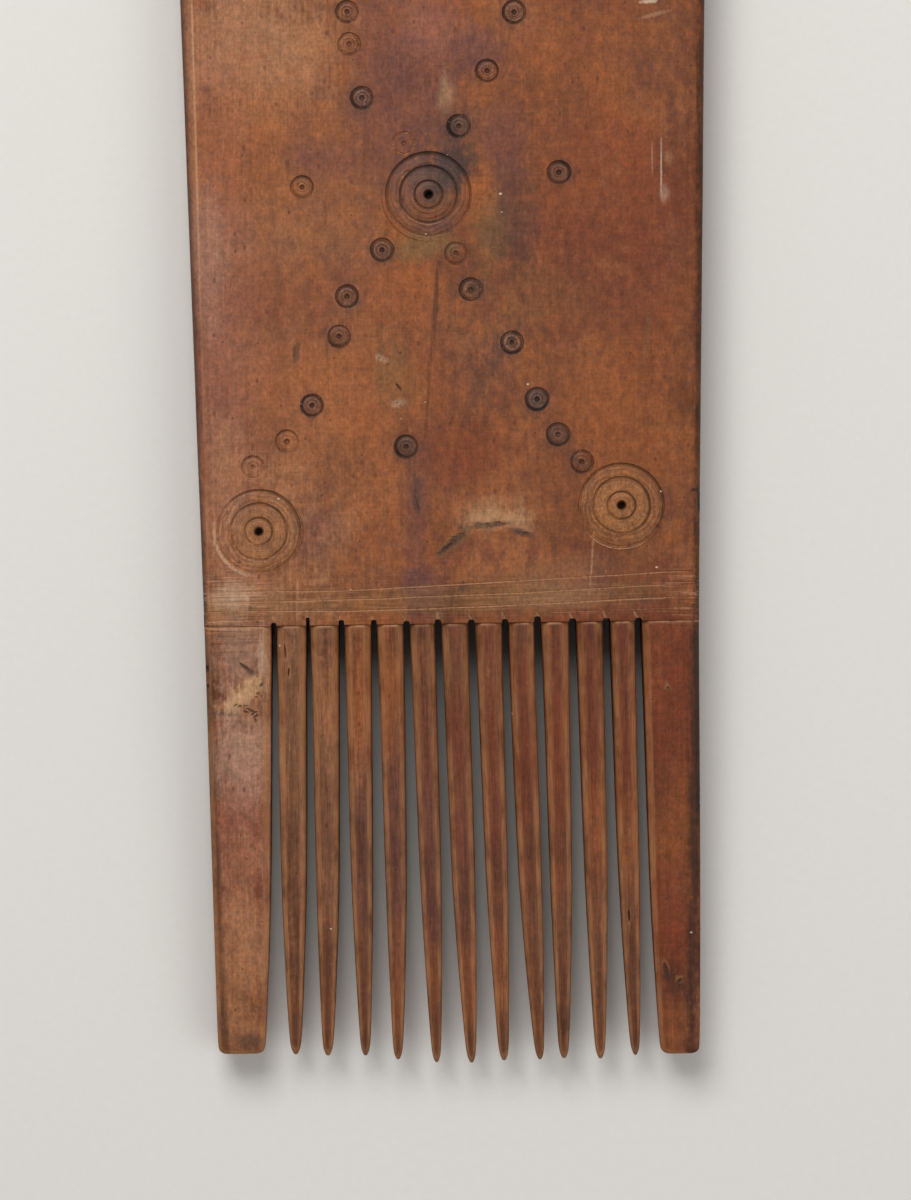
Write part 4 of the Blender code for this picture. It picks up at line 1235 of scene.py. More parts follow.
@dataclass
class Tooth:
    """One tooth or guard, cut from its pattern and fitted to its node."""

    node: str
    wander: float = 0.05 * MM
    smoothing: int = 2
    trims: tuple[float, float] = (0.0, 0.0)
    flanks: tuple[float, float] = (0.0, 0.0)
    flare: float = 0.0

    def build(self, pattern: Workpiece, rings: int) -> Workpiece:
        """Copies the pattern and fits its rings to the node's sections.

        Args:
            pattern: The tooth pattern.
            rings: How many rings it has.

        Returns:
            The tooth.
        """
        rows = sections_of(self.node)
        piece = pattern.copy("worn_" + self.node)
        homes = [ring / (rings - 1) for ring in range(rings)]
        members = [{v.index for v in piece.obj.data.vertices if abs(v.co.y - home) < NEAR} for home in homes]
        with piece.held():
            for index, (home, chosen, row) in enumerate(zip(homes, members, rows, strict=True)):
                piece.choose(Hold.CORNERS, lambda v, chosen=chosen: v.index in chosen)
                stray = self.stray(index, rings)
                share = (row.y - rows[0].y) / (rows[-1].y - rows[0].y)
                bulge = min(ease(share, *BULGE_GROWS), 1.0 - ease(share, *BULGE_FADES))
                left = row.left + self.trims[0] + self.flanks[0] * bulge
                right = (row.right - self.trims[1] + self.flanks[1] * bulge
                         + self.flare * ease(share, *FLARE_GROWS))
                place = Vector(((left + right) / 2, row.y, row.middle().z))
                piece.stretch((right - left + stray.y, 1.0, row.high - row.low), ALONG * home)
                piece.slide(place + Vector((stray.x, 0.0, stray.z)) - ALONG * home)
            piece.select_all()
            bpy.ops.mesh.normals_make_consistent(inside=False)
        piece.modify("SUBSURF", levels=self.smoothing, render_levels=self.smoothing)
        dents = []
        for dent in TOOTH_DENTS.get(self.node, ()):
            x, y, height = dent.place
            dents.append(replace(dent, place=(x, y, height - FACE + self.face_at(rows, y))))
        carve_dents(piece, dents)
        piece.smooth(TOOTH_CREASE)
        self.wear_and_highlight(piece, rows, dents)
        return piece

    @staticmethod
    def face_at(rows: Sequence[Section], y: float) -> float:
        """Returns the height of the front face at a place along the comb, in millimetres."""
        for near, far in zip(rows, rows[1:]):
            if abs(y * MM) <= abs(far.y):
                share = (y * MM - near.y) / (far.y - near.y)
                return (near.high + (far.high - near.high) * share) / MM
        return rows[-1].high / MM

    def stray(self, ring: int, rings: int) -> Vector:
        """Returns how far a ring strays from its measure, as cut by hand: aside, in width and in height."""
        if ring < 2:
            return Vector()
        seed = sum(map(ord, self.node))
        aside, width, height = (noise.noise(Vector((seed * STRAY_SEED_STEP, ring * STRAY_RING_STEP, way)))
                                for way in STRAY_PLACES)
        fade = TIP_STRAY if ring > rings - 3 else 1.0
        return Vector((aside, width, height * HEIGHT_STRAY)) * self.wander * fade

    def wear_and_highlight(self, piece: Workpiece, rows: Sequence[Section], dents: Sequence[Dent]) -> None:
        """Paints the worn arrises, which are partly painted highlight, the pale lip at the root line, and
        the soil and painted shade in the dents.
        """
        root = rows[0].y
        wear_and_highlight, fresh_and_highlight, dirt_and_shade = [], [], []
        for vertex in piece.obj.data.vertices:
            place, normal = vertex.co, vertex.normal
            kept_dark = self.flare and place.x > rows[-1].right - DARK_EDGE_BAND
            tilt = abs(normal.z)
            # Chamfer faces painted pale: partly worn, partly painted highlight.
            wear_and_highlight.append(0.0 if kept_dark else ease(tilt, *SIDE_TILTS) * (1.0 - ease(tilt, *FACE_TILTS)))
            lip = (1.0 - ease(abs(place.y - root), *LIP_REACH)) * ease(normal.z, *LIP_TILTS)
            broken = LIP_MEAN + LIP_SWING * noise.noise(Vector((place.x / MM * LIP_RATE, root / MM, 2.0)))
            fresh_and_highlight.append(lip * min(LIP_MOST, max(0.0, broken)))
            inside = any(dent.holds(place) for dent in dents) and place.z > rows[0].middle().z
            dirt_and_shade.append(DENT_DIRT_AND_SHADE if inside else 0.0)
        piece.paint("wear_and_highlight", wear_and_highlight)
        piece.paint("fresh_and_highlight", fresh_and_highlight)
        piece.paint("dirt_and_shade", dirt_and_shade)


COARSE_OVERRUNS = (0.45, 1.1, 0.7, 0.65, 0.45, 0.6, 0.5, 0.5, 0.8, 0.45, 0.4, 0.4)
FINE_OVERRUNS = (0.5, 0.35, 0.6, 0.45)
COARSE_FLANKS = (
    (0.02, -0.08), (0.27, 0.0), (0.06, -0.2), (0.3, -0.03), (0.06, -0.07), (-0.1, -0.18),
    (0.07, -0.22), (-0.26, -0.24), (0.34, -0.09), (0.13, -0.01), (-0.05, -0.2))
# How much of a tooth's or guard's flank the saw took.
TRIM = 0.05 * MM
GUARD_WANDER = 0.07 * MM


@dataclass
class ToothRow:
    """The teeth and the two guards of one end of the comb."""

    end: str
    count: int
    tooth: Chamfer
    outers: tuple[Chamfer, Chamfer]
    inner: Chamfer
    overruns: tuple[float, ...]
    flanks: tuple[tuple[float, float], ...] = ()
    flare: float = 0.0

    def nodes(self) -> list[str]:
        """Returns the names of the nodes of this end, from left to right."""
        teeth = [f"{self.end}_tooth_{index + 1:02d}" for index in range(self.count)]
        return [f"{self.end}_guard_left", *teeth, f"{self.end}_guard_right"]

    def slits(self) -> list[tuple[float, float]]:
        """Returns the left and right edge of each slit where it meets the root line."""
        roots = [sections_of(node)[0] for node in self.nodes()]
        return [(here.right, after.left) for here, after in zip(roots, roots[1:])]

    def build(self, guard_finish: bpy.types.Material, tooth_finish: bpy.types.Material) -> None:
        """Builds the guards and teeth, each in the place of its node."""
        nodes = self.nodes()
        sides = ((nodes[0], self.outers[0], self.inner), (nodes[-1], self.inner, self.outers[1]))
        for node, left, right in sides:
            rings = len(sections_of(node))
            pattern = ToothPattern("guard_pattern", left, right, rings, arris=0.75, cap=0.7).build()
            trims = (0.0, TRIM) if node is nodes[0] else (TRIM, 0.0)
            flare = self.flare if node is nodes[-1] else 0.0
            guard = Tooth(node, GUARD_WANDER, smoothing=3, trims=trims, flare=flare).build(pattern, rings)
            place_in_frame(guard, node, guard_finish)
            pattern.discard()
        rings = len(sections_of(nodes[1]))
        pattern = ToothPattern("tooth_pattern", self.tooth, self.tooth, rings).build()
        for index, node in enumerate(nodes[1:-1]):
            left, right = self.flanks[index] if self.flanks else (0.0, 0.0)
            tooth = Tooth(node, trims=(TRIM, TRIM), flanks=(left * MM, right * MM)).build(pattern, rings)
            place_in_frame(tooth, node, tooth_finish)
        pattern.discard()


# The panel


# The depths over which soil and painted shade grow in a motif's grooves and dot.
LARGE_GROOVES, LARGE_DOT = (0.15 * MM, 0.3 * MM), (0.14 * MM, 0.4 * MM)
SMALL_GROOVES = (0.1 * MM, 0.26 * MM)
# The dot's radius in a large motif, in millimetres, and its least soil and painted shade.
DOT_RADIUS, DOT_GRIME_AND_SHADE = 0.8, 0.9
# How much of their soil and painted shade a large motif's grooves lose on their paler side, beyond each
# radius.
SIDE_LOSS = ((5.0, 0.85), (3.3, 0.6), (0.0, 0.35))
# The same for the rim of a small motif, and how much soil and painted shade its inner rings and dot hold.
SMALL_RIM, SMALL_SIDE_LOSS, SMALL_RINGS = 1.1, 0.5, ((0.45, 0.5), (0.0, 0.75))


@dataclass(frozen=True)
class Motif:
    """Rings and a dot stamped at one place.

    Attributes:
        across: Place, as a share of the half width at the panel's middle.
        along: Place, as a share of the panel's reach.
        depth: How deep it went, against a full stamp.
        grime_and_shade: How much soil and painted shade its grooves hold, from 0 to 1.
        disc: How dark its ground is, or how pale where it is below 0.
        bearing: The side on which its grooves are darkest, in degrees from +X.
    """

    across: float
    along: float
    depth: float = 1.0
    grime_and_shade: float = 0.6
    disc: float = 0.2
    bearing: float = 200.0

    def dirt_and_shade_at(self, offset: Vector, depth: float) -> float:
        """Returns how much soil and painted shade lie at a point inside the stamp: more with depth and
        towards the bearing.

        Args:
            offset: The point's place from the stamp's centre.
            depth: Its depth below the face.

        Returns:
            The soil and painted shade, from 0 to 1.
        """
        radius = offset.length / MM
        side = 0.5 - 0.5 * math.cos(math.atan2(offset.y, offset.x) - math.radians(self.bearing))
        if self in LARGE_MOTIFS:
            if radius < DOT_RADIUS:
                return max(DOT_GRIME_AND_SHADE, self.grime_and_shade) * ease(depth, *LARGE_DOT)
            loss = next(loss for reach, loss in SIDE_LOSS if radius > reach)
            return self.grime_and_shade * ease(depth, *LARGE_GROOVES) * (1.0 - side * loss)
        level = self.grime_and_shade * ease(depth, *SMALL_GROOVES)
        if radius > SMALL_RIM:
            return level * (1.0 - SMALL_SIDE_LOSS * side)
        return level * next(share for reach, share in SMALL_RINGS if radius >= reach)


@dataclass(frozen=True)
class Stamp:
    """A turned cutter.

    Attributes:
        sides: How many sides it has.
        true_within: The radius inside which its edges are true, in millimetres.
        turns: The radius and depth of each turn in millimetres, from its rim inwards.
        rise: How far it stands above the wood, in millimetres.
        flank: How much wider its rim is for each of its depths.
    """

    sides: int
    true_within: float
    turns: tuple[tuple[float, float], ...]
    rise: float = 0.8
    flank: float = 0.12

    def build(self) -> Workpiece:
        """Turns the cutter, point down, with the wood's surface at height zero."""
        rim, depth = self.turns[0]
        top = rim + self.flank * (self.rise + depth) / depth
        piece = Workpiece.plug("stamp", self.sides, (-depth * MM, rim * MM), (self.rise * MM, top * MM))
        with piece.held():
            piece.choose(Hold.FACES, lambda face: face.normal.z < -0.9)
            for (radius, level), (next_radius, next_level) in zip(self.turns, self.turns[1:]):
                bpy.ops.mesh.inset(thickness=(radius - next_radius) * MM)
                piece.slide((0.0, 0.0, (level - next_level) * MM))
        return piece


LARGE_STAMP = Stamp(88, 1.0, (
    (5.86, 0.28), (5.72, 0.31), (5.5, 0.15), (5.1, 0.08), (4.5, 0.06), (4.12, 0.07),
    (4.06, 0.30), (3.92, 0.33), (3.72, 0.16), (3.2, 0.09), (2.5, 0.07), (2.08, 0.08),
    (2.02, 0.28), (1.9, 0.31), (1.72, 0.15), (1.3, 0.09), (0.78, 0.09),
    (0.62, 0.30), (0.46, 1.3), (0.2, 1.9)))
SMALL_STAMP = Stamp(36, 0.5, (
    (1.6, 0.28), (1.47, 0.33), (1.28, 0.18), (1.1, 0.10), (0.86, 0.08),
    (0.79, 0.15), (0.7, 0.16), (0.6, 0.10), (0.42, 0.10), (0.3, 0.30), (0.12, 0.42)))

LARGE_MOTIFS = tuple(Motif(*row) for row in (
    (-0.065, 0.0, 1.0, 0.85, 0.26, 80), (-0.742, -0.78, 0.82, 0.62, -0.4, 70),
    (0.665, -0.731, 0.95, 0.78, -0.55, 10), (-0.735, 0.8, 0.9, 0.7, 0.1, 120),
    (0.68, 0.78, 0.9, 0.75, -0.2, 60)))
SMALL_MOTIFS = tuple(Motif(*row) for row in (
    (-0.157, 0.12, 0.4, 0.15, -0.15, 90), (-0.317, 0.227, 1.0, 0.85, 0.3, 210),
    (-0.364, 0.353, 0.9, 0.6, 0.05), (-0.37, 0.428, 0.95, 0.75, 0.2), (-0.48, 0.53),
    (-0.6, 0.61, 1.0, 0.6, 0.2, 90), (0.057, 0.158, 1.1, 1.0, 0.35), (0.169, 0.286, 0.95, 0.75, 0.1, 30),
    (0.277, 0.422, 1.0, 0.9, 0.25, 210), (0.36, 0.515), (0.45, 0.595, 0.8, 0.5, 0.15, 60), (0.555, 0.66),
    (-0.248, -0.128, 1.1, 0.95, 0.3, 250), (-0.386, -0.235, 1.0, 0.85, 0.15, 280),
    (-0.419, -0.328, 1.0, 0.85, 0.15), (-0.528, -0.488, 1.0, 0.95, 0.25, 180),
    (-0.627, -0.571, 0.75, 0.55, 0.0, 150), (-0.76, -0.63, 0.6, 0.5, -0.1, 100),
    (0.038, -0.138, 0.6, 0.5, 0.15), (0.094, -0.223, 0.95, 0.85, 0.15, 230),
    (0.25, -0.348, 1.05, 0.95, 0.35, 250), (0.344, -0.481, 1.2, 1.0, 0.75, 270),
    (0.423, -0.564, 1.1, 0.95, 0.45, 250), (0.514, -0.628, 0.85, 0.85, 0.0),
    (-0.554, 0.021, 0.85, 0.8, -0.1, 60), (0.442, 0.047, 1.15, 1.0, 0.3, 10),
    (-0.166, -0.587, 1.1, 1.0, 0.4), (0.1, 0.6, 1.0, 0.8, 0.3)))


@dataclass(frozen=True)
class Arc:
    """A faint arc beside a large motif, where the tool was set down again.

    Attributes:
        motif: The number of the large motif.
        radius: The arc's radius in millimetres.
        bearing: The middle of the arc, in degrees from +X.
        bite: How deep it bites there, in millimetres.
        shift: How far its centre is off the motif's, in millimetres.
    """

    motif: int
    radius: float
    bearing: float
    bite: float = 0.16
    shift: float = 0.0


ARCS = (
    Arc(0, 6.55, 225, shift=0.1), Arc(0, 5.35, 120, 0.2), Arc(0, 3.4, 300, 0.18), Arc(0, 2.7, 250),
    Arc(1, 5.9, 0, shift=0.35), Arc(1, 3.75, 60), Arc(2, 5.45, 10, 0.18), Arc(2, 3.7, 200, 0.15),
    Arc(2, 6.12, 285, shift=0.15), Arc(3, 5.4, 80), Arc(4, 3.6, 20))


@dataclass(frozen=True)
class ScribedLine:
    """A line scribed across the board: its (x, y) places in millimetres, its depth, and its face."""

    places: tuple[tuple[float, float], ...]
    depth: float = 0.2
    front: bool = True


GUIDE_LINES = tuple(ScribedLine(*row) for row in (
    (((-34.2, -55.3), (-12.8, -55.3), (9.7, -54.3), (34.1, -53.2)),),
    (((-34.2, -56.8), (-12.8, -56.6), (9.6, -56.0), (34.1, -55.0)),),
    (((-34.2, -58.0), (-12.8, -58.2), (9.6, -57.7), (34.1, -56.8)),),
    (((13.1, -58.8), (24.0, -58.6), (34.0, -58.4)), 0.1),
    (((-33.1, -59.2), (-31.0, -59.3), (-28.9, -59.4)), 0.1),
    (((-35.9, 53.5), (-12.0, 53.9), (10.0, 54.3), (36.2, 54.8)),),
    (((-36.0, 55.2), (-12.0, 55.5), (10.0, 55.9), (36.2, 56.3)),),
    (((-36.0, 56.8), (-12.0, 57.1), (10.0, 57.2), (36.2, 57.4)),),
    (((-33.9, -55.0), (-10.0, -54.8), (12.0, -54.2), (34.0, -53.4)), 0.2, False),
    (((-33.9, -56.7), (-10.0, -56.4), (12.0, -56.1), (34.0, -55.2)), 0.2, False),
    (((-33.9, -58.0), (-10.0, -57.9), (12.0, -57.5), (34.0, -56.9)), 0.2, False),
    (((-35.9, 53.4), (-12.0, 53.8), (10.0, 54.4), (36.2, 54.9)), 0.2, False),
    (((-35.9, 55.1), (-12.0, 55.6), (10.0, 55.8), (36.2, 56.2)), 0.2, False),
    (((-35.9, 56.7), (-12.0, 57.0), (10.0, 57.3), (36.2, 57.5)), 0.2, False)))


@dataclass(frozen=True)
class Nick:
    """A small wedge-shaped nick: its middle, half width, start and tip along the comb, lean and depth."""

    middle: float
    half: float
    start: float
    tip: float
    lean: float
    depth: float


# The dark along each long side, left by hands and on the right side also painted shade: the side,
# its reach, strength and softness, and how far it runs, as a share of each stretch of the side.
HANDLED_AND_SHADED, HANDLED_AND_SHADED_RUN = ((-1, 0.5, 0.5, 0.8), (1, 0.8, 0.62, 0.95)), 0.75
CHIP_DIRT = (
    Stain("chip", 35.0, -43.3, 0.6, 2.4, -1.4, EDGE, 0.8, 0.4, 15.0),
    Stain("step in the chip", 34.3, -41.9, 0.6, 0.3, 0, EDGE, 0.7, 0.5, 15.0))
# The halos: the least soil and painted shade of their rings, their shift, reach, strength and softness.
HALO_GRIME_AND_SHADE, HALO_SHIFT, HALO_REACH, HALO_STRENGTH, HALO_SOFT = 0.85, 0.45, (1.8, 1.9), 0.36, 0.5
# The clouds by which the board is uneven, and the edge that stays true.
PLANING_SCALE, TRUE_EDGE = 0.016, 0.5 * MM
# The rounding of a saw cut's end, as a share of its width and of its run.
CUT_ROUND, CUT_RUN_ROUND = 0.38, 0.8
# The nicks: the ranges of their half width, shift, length and lean in millimetres, how far back
# in the cut they start, their depth, rise and heel, and their size at the fine end.
NICK_HALVES, NICK_SHIFTS, NICK_LENGTHS, NICK_LEANS = (0.1, 0.16), (-0.1, 0.25), (0.6, 1.1), (0.1, 0.5)
NICK_START, NICK_DEPTH, NICK_RISE, NICK_HEEL, FINE_SIZE = 0.12 * MM, 0.3 * MM, 0.6 * MM, 0.02 * MM, 0.6
# How a nick narrows at its tip and at its bottom, and the pale stroke in it.
NICK_TIP, NICK_BOTTOM = 0.5, 0.35
PALE_RUN, PALE_STRENGTH, PALE_SOFT = 0.55, 0.45, 0.5
# The hoops that bite the arcs: their gauge, and their tilt in degrees.
HOOP_GAUGE, HOOP_TILT = 0.22 * MM, 2.6
# A scribed line: its cutter's half width and parts, how far it lifts inside and at its ends,
# how far it wavers, and how near to it a point is on it.
LINE_HALF, LINE_PARTS, LINE_LIFTS, END_LIFT = 0.3 * MM, 14, (0.0, 0.3), 0.4
LINE_WAVER, ON_LINE = 0.05, 0.35
# The stamps: how rough their edges are, how far they tilt in degrees, how their width and
# length vary, and their full stroke.
STAMP_ROUGH, LARGE_TILT, SMALL_TILT = 0.03 * MM, 1.1, 2.6
STAMP_SIZES, STAMP_STROKE = ((-0.015, 0.015), (-0.01, 0.03)), 0.22 * MM
# The radius that a stamp marks, and a number that sets each motif's rings apart.
SMALL_REACH, LARGE_REACH, RING_SHIFT = 1.72 * MM, 6.9 * MM, 40.0
# The clean band along the sides, the same on a guide line, and the zone of cuts and lines.
EDGE_BAND, LINE_EDGE_BAND, CUT_ZONE = 2.2 * MM, 1.3 * MM, (0.3 * MM, 8.0 * MM)
# The depths over which a cut is bare and another hollow is painted dark with soil and shade, and how dark.
BARE_DEPTHS, HOLLOW_DEPTHS, HOLLOW_DIRT_AND_SHADE = (0.03 * MM, 0.11 * MM), (0.08 * MM, 0.25 * MM), 0.5
# The worn chamfer, which on the front's left side is also painted highlight: its band, its tilt and how far
# off the tilt may be.
WORN_AND_HIGHLIGHT_BAND, WORN_AND_HIGHLIGHT_TILT, TILT_SPAN = 2.6 * MM, 0.93, 0.07
# A face this far below the front is the ground of a stamp.
GROUND_DEPTH = 0.05 * MM
# The pale upper arris of the left bevel, partly bare wood and partly painted highlight: its half width, and
# where and how much it shows.
BARE_AND_LIT_HALF, BARE_AND_LIT_FROM, BARE_AND_LIT_GAIN, BARE_AND_LIT_SWING, BARE_AND_LIT_RATE = 0.26 * MM, (-24.0 * MM, 6.0 * MM), 1.1, 0.8, 0.12


@dataclass
class Panel:
    """The panel between the two rows of teeth, with everything scribed and stamped on it."""

    coarse: ToothRow
    fine: ToothRow
    node: str = "centre_panel"
    left_chamfers: tuple[float, float] = (0.8 * MM, 2.0 * MM)
    right_chamfers: tuple[float, float] = (0.8 * MM, 1.1 * MM)
    arris: float = 0.28 * MM
    root_depth: float = 0.08 * MM
    root_half_width: float = 0.2 * MM
    kerf: float = 0.05 * MM
    cell: float = 2.6 * MM
    unevenness: float = 0.07 * MM

    def __post_init__(self) -> None:
        """Measures the node: its box, and its half width at each end."""
        self.low, self.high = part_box(self.node)
        corners = [vertex.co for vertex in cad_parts[self.node].data.vertices]
        self.half_widths = tuple(max(co.x for co in corners if abs(co.y - y) < ALIKE)
                                 for y in (self.low.y, self.high.y))

    def half_width(self, y: float) -> float:
        """Returns the panel's half width at a place along it."""
        share = (y - self.low.y) / (self.high.y - self.low.y)
        return self.half_widths[0] + (self.half_widths[1] - self.half_widths[0]) * share

    def centre_of(self, motif: Motif) -> Vector:
        """Returns a motif's centre on the front face."""
        reach = self.high.y if motif.along > 0 else -self.low.y
        return Vector((motif.across * self.half_width(0.0), motif.along * reach, self.high.z))

    def handled_and_shaded_edges(self) -> list[Stain]:
        """Returns the dark along each long side, left by hands and, wider and stronger on the right, painted
        shade, and the soil in its chip.
        """
        edges = []
        for hand, reach, strength, soft in HANDLED_AND_SHADED:
            sides = [tuple(zip((self.low.y, self.high.y), self.half_widths))]
            for row in (self.coarse, self.fine):
                ends = sections_of(row.nodes()[0 if hand < 0 else -1])
                sides.append(tuple((end.y, abs(end.left if hand < 0 else end.right))
                                   for end in (ends[0], ends[-1])))
            for (near_y, near_x), (far_y, far_x) in sides:
                x, y = hand * (near_x + far_x) / 2 / MM, (near_y + far_y) / 2 / MM
                turn = math.degrees(math.atan2(-hand * (far_x - near_x), far_y - near_y))
                turn = (turn + 90.0) % 180.0 - 90.0
                run = HANDLED_AND_SHADED_RUN * abs(far_y - near_y) / MM
                edges.append(Stain("handled edge", x, y, reach, run, turn, EDGE, strength, soft))
        return [*edges, *CHIP_DIRT]

    def halos(self) -> list[Stain]:
        """Returns the dark halos that the dirtiest small rings have in the wood round them."""
        halos = []
        for motif in SMALL_MOTIFS:
            if motif.grime_and_shade >= HALO_GRIME_AND_SHADE:
                centre = self.centre_of(motif) / MM
                angle = math.radians(motif.bearing)
                x, y = centre.x + HALO_SHIFT * math.cos(angle), centre.y + HALO_SHIFT * math.sin(angle)
                strength = HALO_STRENGTH * motif.grime_and_shade
                halos.append(Stain("halo", x, y, *HALO_REACH, 0, SMOKE, strength, HALO_SOFT))
        return halos

    def build(self, finish: bpy.types.Material) -> None:
        """Builds the panel in the place of its node."""
        board = self.board()
        self.wear_down(board)
        board.carve(self.saw_cutter())
        board.carve(self.nick_cutter())
        board.carve(self.line_cutter())
        board.carve(self.stamps(LARGE_STAMP, LARGE_MOTIFS, "large_rings"))
        board.carve(self.stamps(SMALL_STAMP, SMALL_MOTIFS, "small_rings"))
        board.carve(self.arc_cutter())
        carve_dents(board, PANEL_DENTS)
        board.smooth(PANEL_CREASE)
        self.paint(board)
        place_in_frame(board, self.node, finish)

    def board(self) -> Workpiece:
        """Saws the tapered board and planes its chamfers and arrises."""
        low, high = self.low, self.high
        board = Workpiece.block("worn_panel", low, high)
        with board.held():
            for y, half in ((low.y, self.half_widths[0]), (high.y, self.half_widths[1])):
                board.choose(Hold.CORNERS, at("y", y))
                board.stretch((half / high.x, 1.0, 1.0), ALONG * y)
            for hand, chamfers in ((-1, self.left_chamfers), (1, self.right_chamfers)):
                for face, inward in ((high.z, -1.0), (low.z, 1.0)):
                    near = Vector((hand * (self.half_widths[0] - chamfers[0]), low.y, face))
                    side = Vector((hand * self.half_widths[0], low.y, face + inward * chamfers[0]))
                    far = Vector((hand * (self.half_widths[1] - chamfers[1]), high.y, face))
                    normal = (side - near).cross(far - near).normalized()
                    if normal.x * hand < 0:
                        normal.negate()
                    board.slice(near, normal, clear=True)
            board.choose(Hold.EDGES, lambda edge: run_of(edge) > high.y)
            board.bevel(self.arris, segments=2)
            for y in (low.y + self.root_half_width, high.y - self.root_half_width):
                board.slice(ALONG * y, ALONG)
            shrink = 1.0 - 2 * self.root_depth / (high.z - low.z)
            board.choose(Hold.CORNERS, lambda v: min(abs(v.co.y - low.y), abs(v.co.y - high.y)) < ALIKE)
            board.stretch((1.0, 1.0, shrink), Vector((0.0, 0.0, (low.z + high.z) / 2)))
            for step in range(1, int((high.y - low.y) / self.cell)):
                board.slice(ALONG * (low.y + step * self.cell), ALONG)
            inner = self.half_widths[0] - self.left_chamfers[1]
            for step in range(int(2 * inner / self.cell) + 1):
                board.slice(ACROSS * (step * self.cell - inner), ACROSS)
        return board

    def wear_down(self, board: Workpiece) -> None:
        """Makes the board's faces a little uneven, never proud of their first plane."""
        clouds = bpy.data.textures.new("hand_planed", "CLOUDS")
        clouds.noise_scale = PLANING_SCALE
        clouds.noise_depth = 1
        worn = board.obj.vertex_groups.new(name="worn")
        inside = [v.index for v in board.obj.data.vertices
                  if self.low.y + TRUE_EDGE < v.co.y < self.high.y - TRUE_EDGE]
        worn.add(inside, 1.0, "REPLACE")
        board.modify("DISPLACE", texture=clouds, texture_coords="LOCAL", direction="NORMAL",
                     mid_level=1.0, strength=self.unevenness, vertex_group="worn")
        board.modify("TRIANGULATE")
        board.obj.vertex_groups.clear()

    def slits(self) -> Iterator[tuple[float, float, float, int, float]]:
        """Gives each slit: its left and right edge, its root line, its side and how far it overruns."""
        for row, side in ((self.coarse, -1), (self.fine, 1)):
            root = self.low.y if side < 0 else self.high.y
            for index, (left, right) in enumerate(row.slits()):
                run = row.overruns[index % len(row.overruns)] * MM
                yield left - self.kerf, right + self.kerf, root, side, run

    def saw_cutter(self) -> Workpiece:
        """Shapes the saw cuts, whose rounded ends run past the root line."""
        cuts = []
        for left, right, root, side, run in self.slits():
            tip = root - side * run
            ends = sorted((root + side * MM, tip))
            cut = Workpiece.block("saw_cut", Vector((left, ends[0], self.low.z - MM)),
                                  Vector((right, ends[1], self.high.z + MM)))
            with cut.held():
                cut.choose(Hold.EDGES, lambda edge, test=at("y", tip): all(map(test, edge.verts))
                           and abs(edge.verts[0].co.z - edge.verts[1].co.z) > MM)
                cut.bevel(min(CUT_ROUND * (right - left), CUT_RUN_ROUND * run), segments=4)
            cuts.append(cut)
        return join(cuts, "saw_cuts")

    def nicks(self) -> Iterator[Nick]:
        """Gives the small slanted nick that the saw left above each slit."""
        shuffle = random.Random(7)
        for left, right, root, side, run in self.slits():
            size = 1.0 if side < 0 else FINE_SIZE
            half = size * shuffle.uniform(*NICK_HALVES) * MM
            middle = (left + right) / 2 - size * shuffle.uniform(*NICK_SHIFTS) * MM
            start = root - side * (run - NICK_START)
            tip = start - side * size * shuffle.uniform(*NICK_LENGTHS) * MM
            lean = -size * shuffle.uniform(*NICK_LEANS) * MM
            yield Nick(middle, half, start, tip, lean, NICK_DEPTH * size)

    def pale_nicks(self) -> list[Stain]:
        """Returns the pale strokes of bare wood in the nicks of the coarse end."""
        strokes = []
        for nick in self.nicks():
            if nick.start < 0:
                x, y = (nick.middle + nick.lean / 2) / MM, (nick.start + nick.tip) / 2 / MM
                length = abs(nick.tip - nick.start)
                turn = math.degrees(math.atan2(-nick.lean, length))
                strokes.append(Stain("pale nick", x, y, nick.half / MM, PALE_RUN * length / MM, turn,
                                     STRAW, PALE_STRENGTH, PALE_SOFT))
        return strokes

    def nick_cutter(self) -> Workpiece:
        """Shapes the nicks, on both faces."""
        wedges = []
        for nick in self.nicks():
            for face, inward in ((self.high.z, -1), (self.low.z, 1)):
                deep = face + inward * nick.depth
                heights = sorted((face - inward * NICK_RISE, deep))
                ends = sorted((nick.start, nick.tip))
                wedge = Workpiece.block("nick", Vector((nick.middle - nick.half, ends[0], heights[0])),
                                        Vector((nick.middle + nick.half, ends[1], heights[1])))
                with wedge.held():
                    wedge.choose(Hold.CORNERS, at("y", nick.tip))
                    wedge.stretch((NICK_TIP, 1.0, 1.0), Vector((nick.middle, nick.tip, 0.0)))
                    wedge.slide((nick.lean, 0.0, 0.0))
                    wedge.choose(Hold.CORNERS, at("z", deep))
                    wedge.stretch((NICK_BOTTOM, 1.0, 1.0), Vector((nick.middle + nick.lean / 2, 0.0, deep)))
                    wedge.choose(Hold.CORNERS, lambda v, tests=(at("y", nick.tip), at("z", deep)):
                                 all(test(v) for test in tests))
                    wedge.slide((0.0, 0.0, -inward * (nick.depth - NICK_HEEL)))
                wedges.append(wedge)
        return join(wedges, "nicks")

    def arc_cutter(self) -> Workpiece:
        """Shapes the faint arcs beside the large rings: tilted hoops that bite on one side only."""
        hoops = []
        for arc in ARCS:
            angle = math.radians(arc.bearing)
            lift = HOOP_GAUGE - arc.bite * MM + arc.radius * MM * math.sin(math.radians(HOOP_TILT))
            aside = Vector((math.cos(angle), math.sin(angle), 0.0)) * arc.shift * MM
            centre = self.centre_of(LARGE_MOTIFS[arc.motif]) + aside + Vector((0.0, 0.0, lift))
            hoops.append(Workpiece.hoop("arc", arc.radius * MM, HOOP_GAUGE, HOOP_TILT, arc.bearing, centre))
        return join(hoops, "arcs")

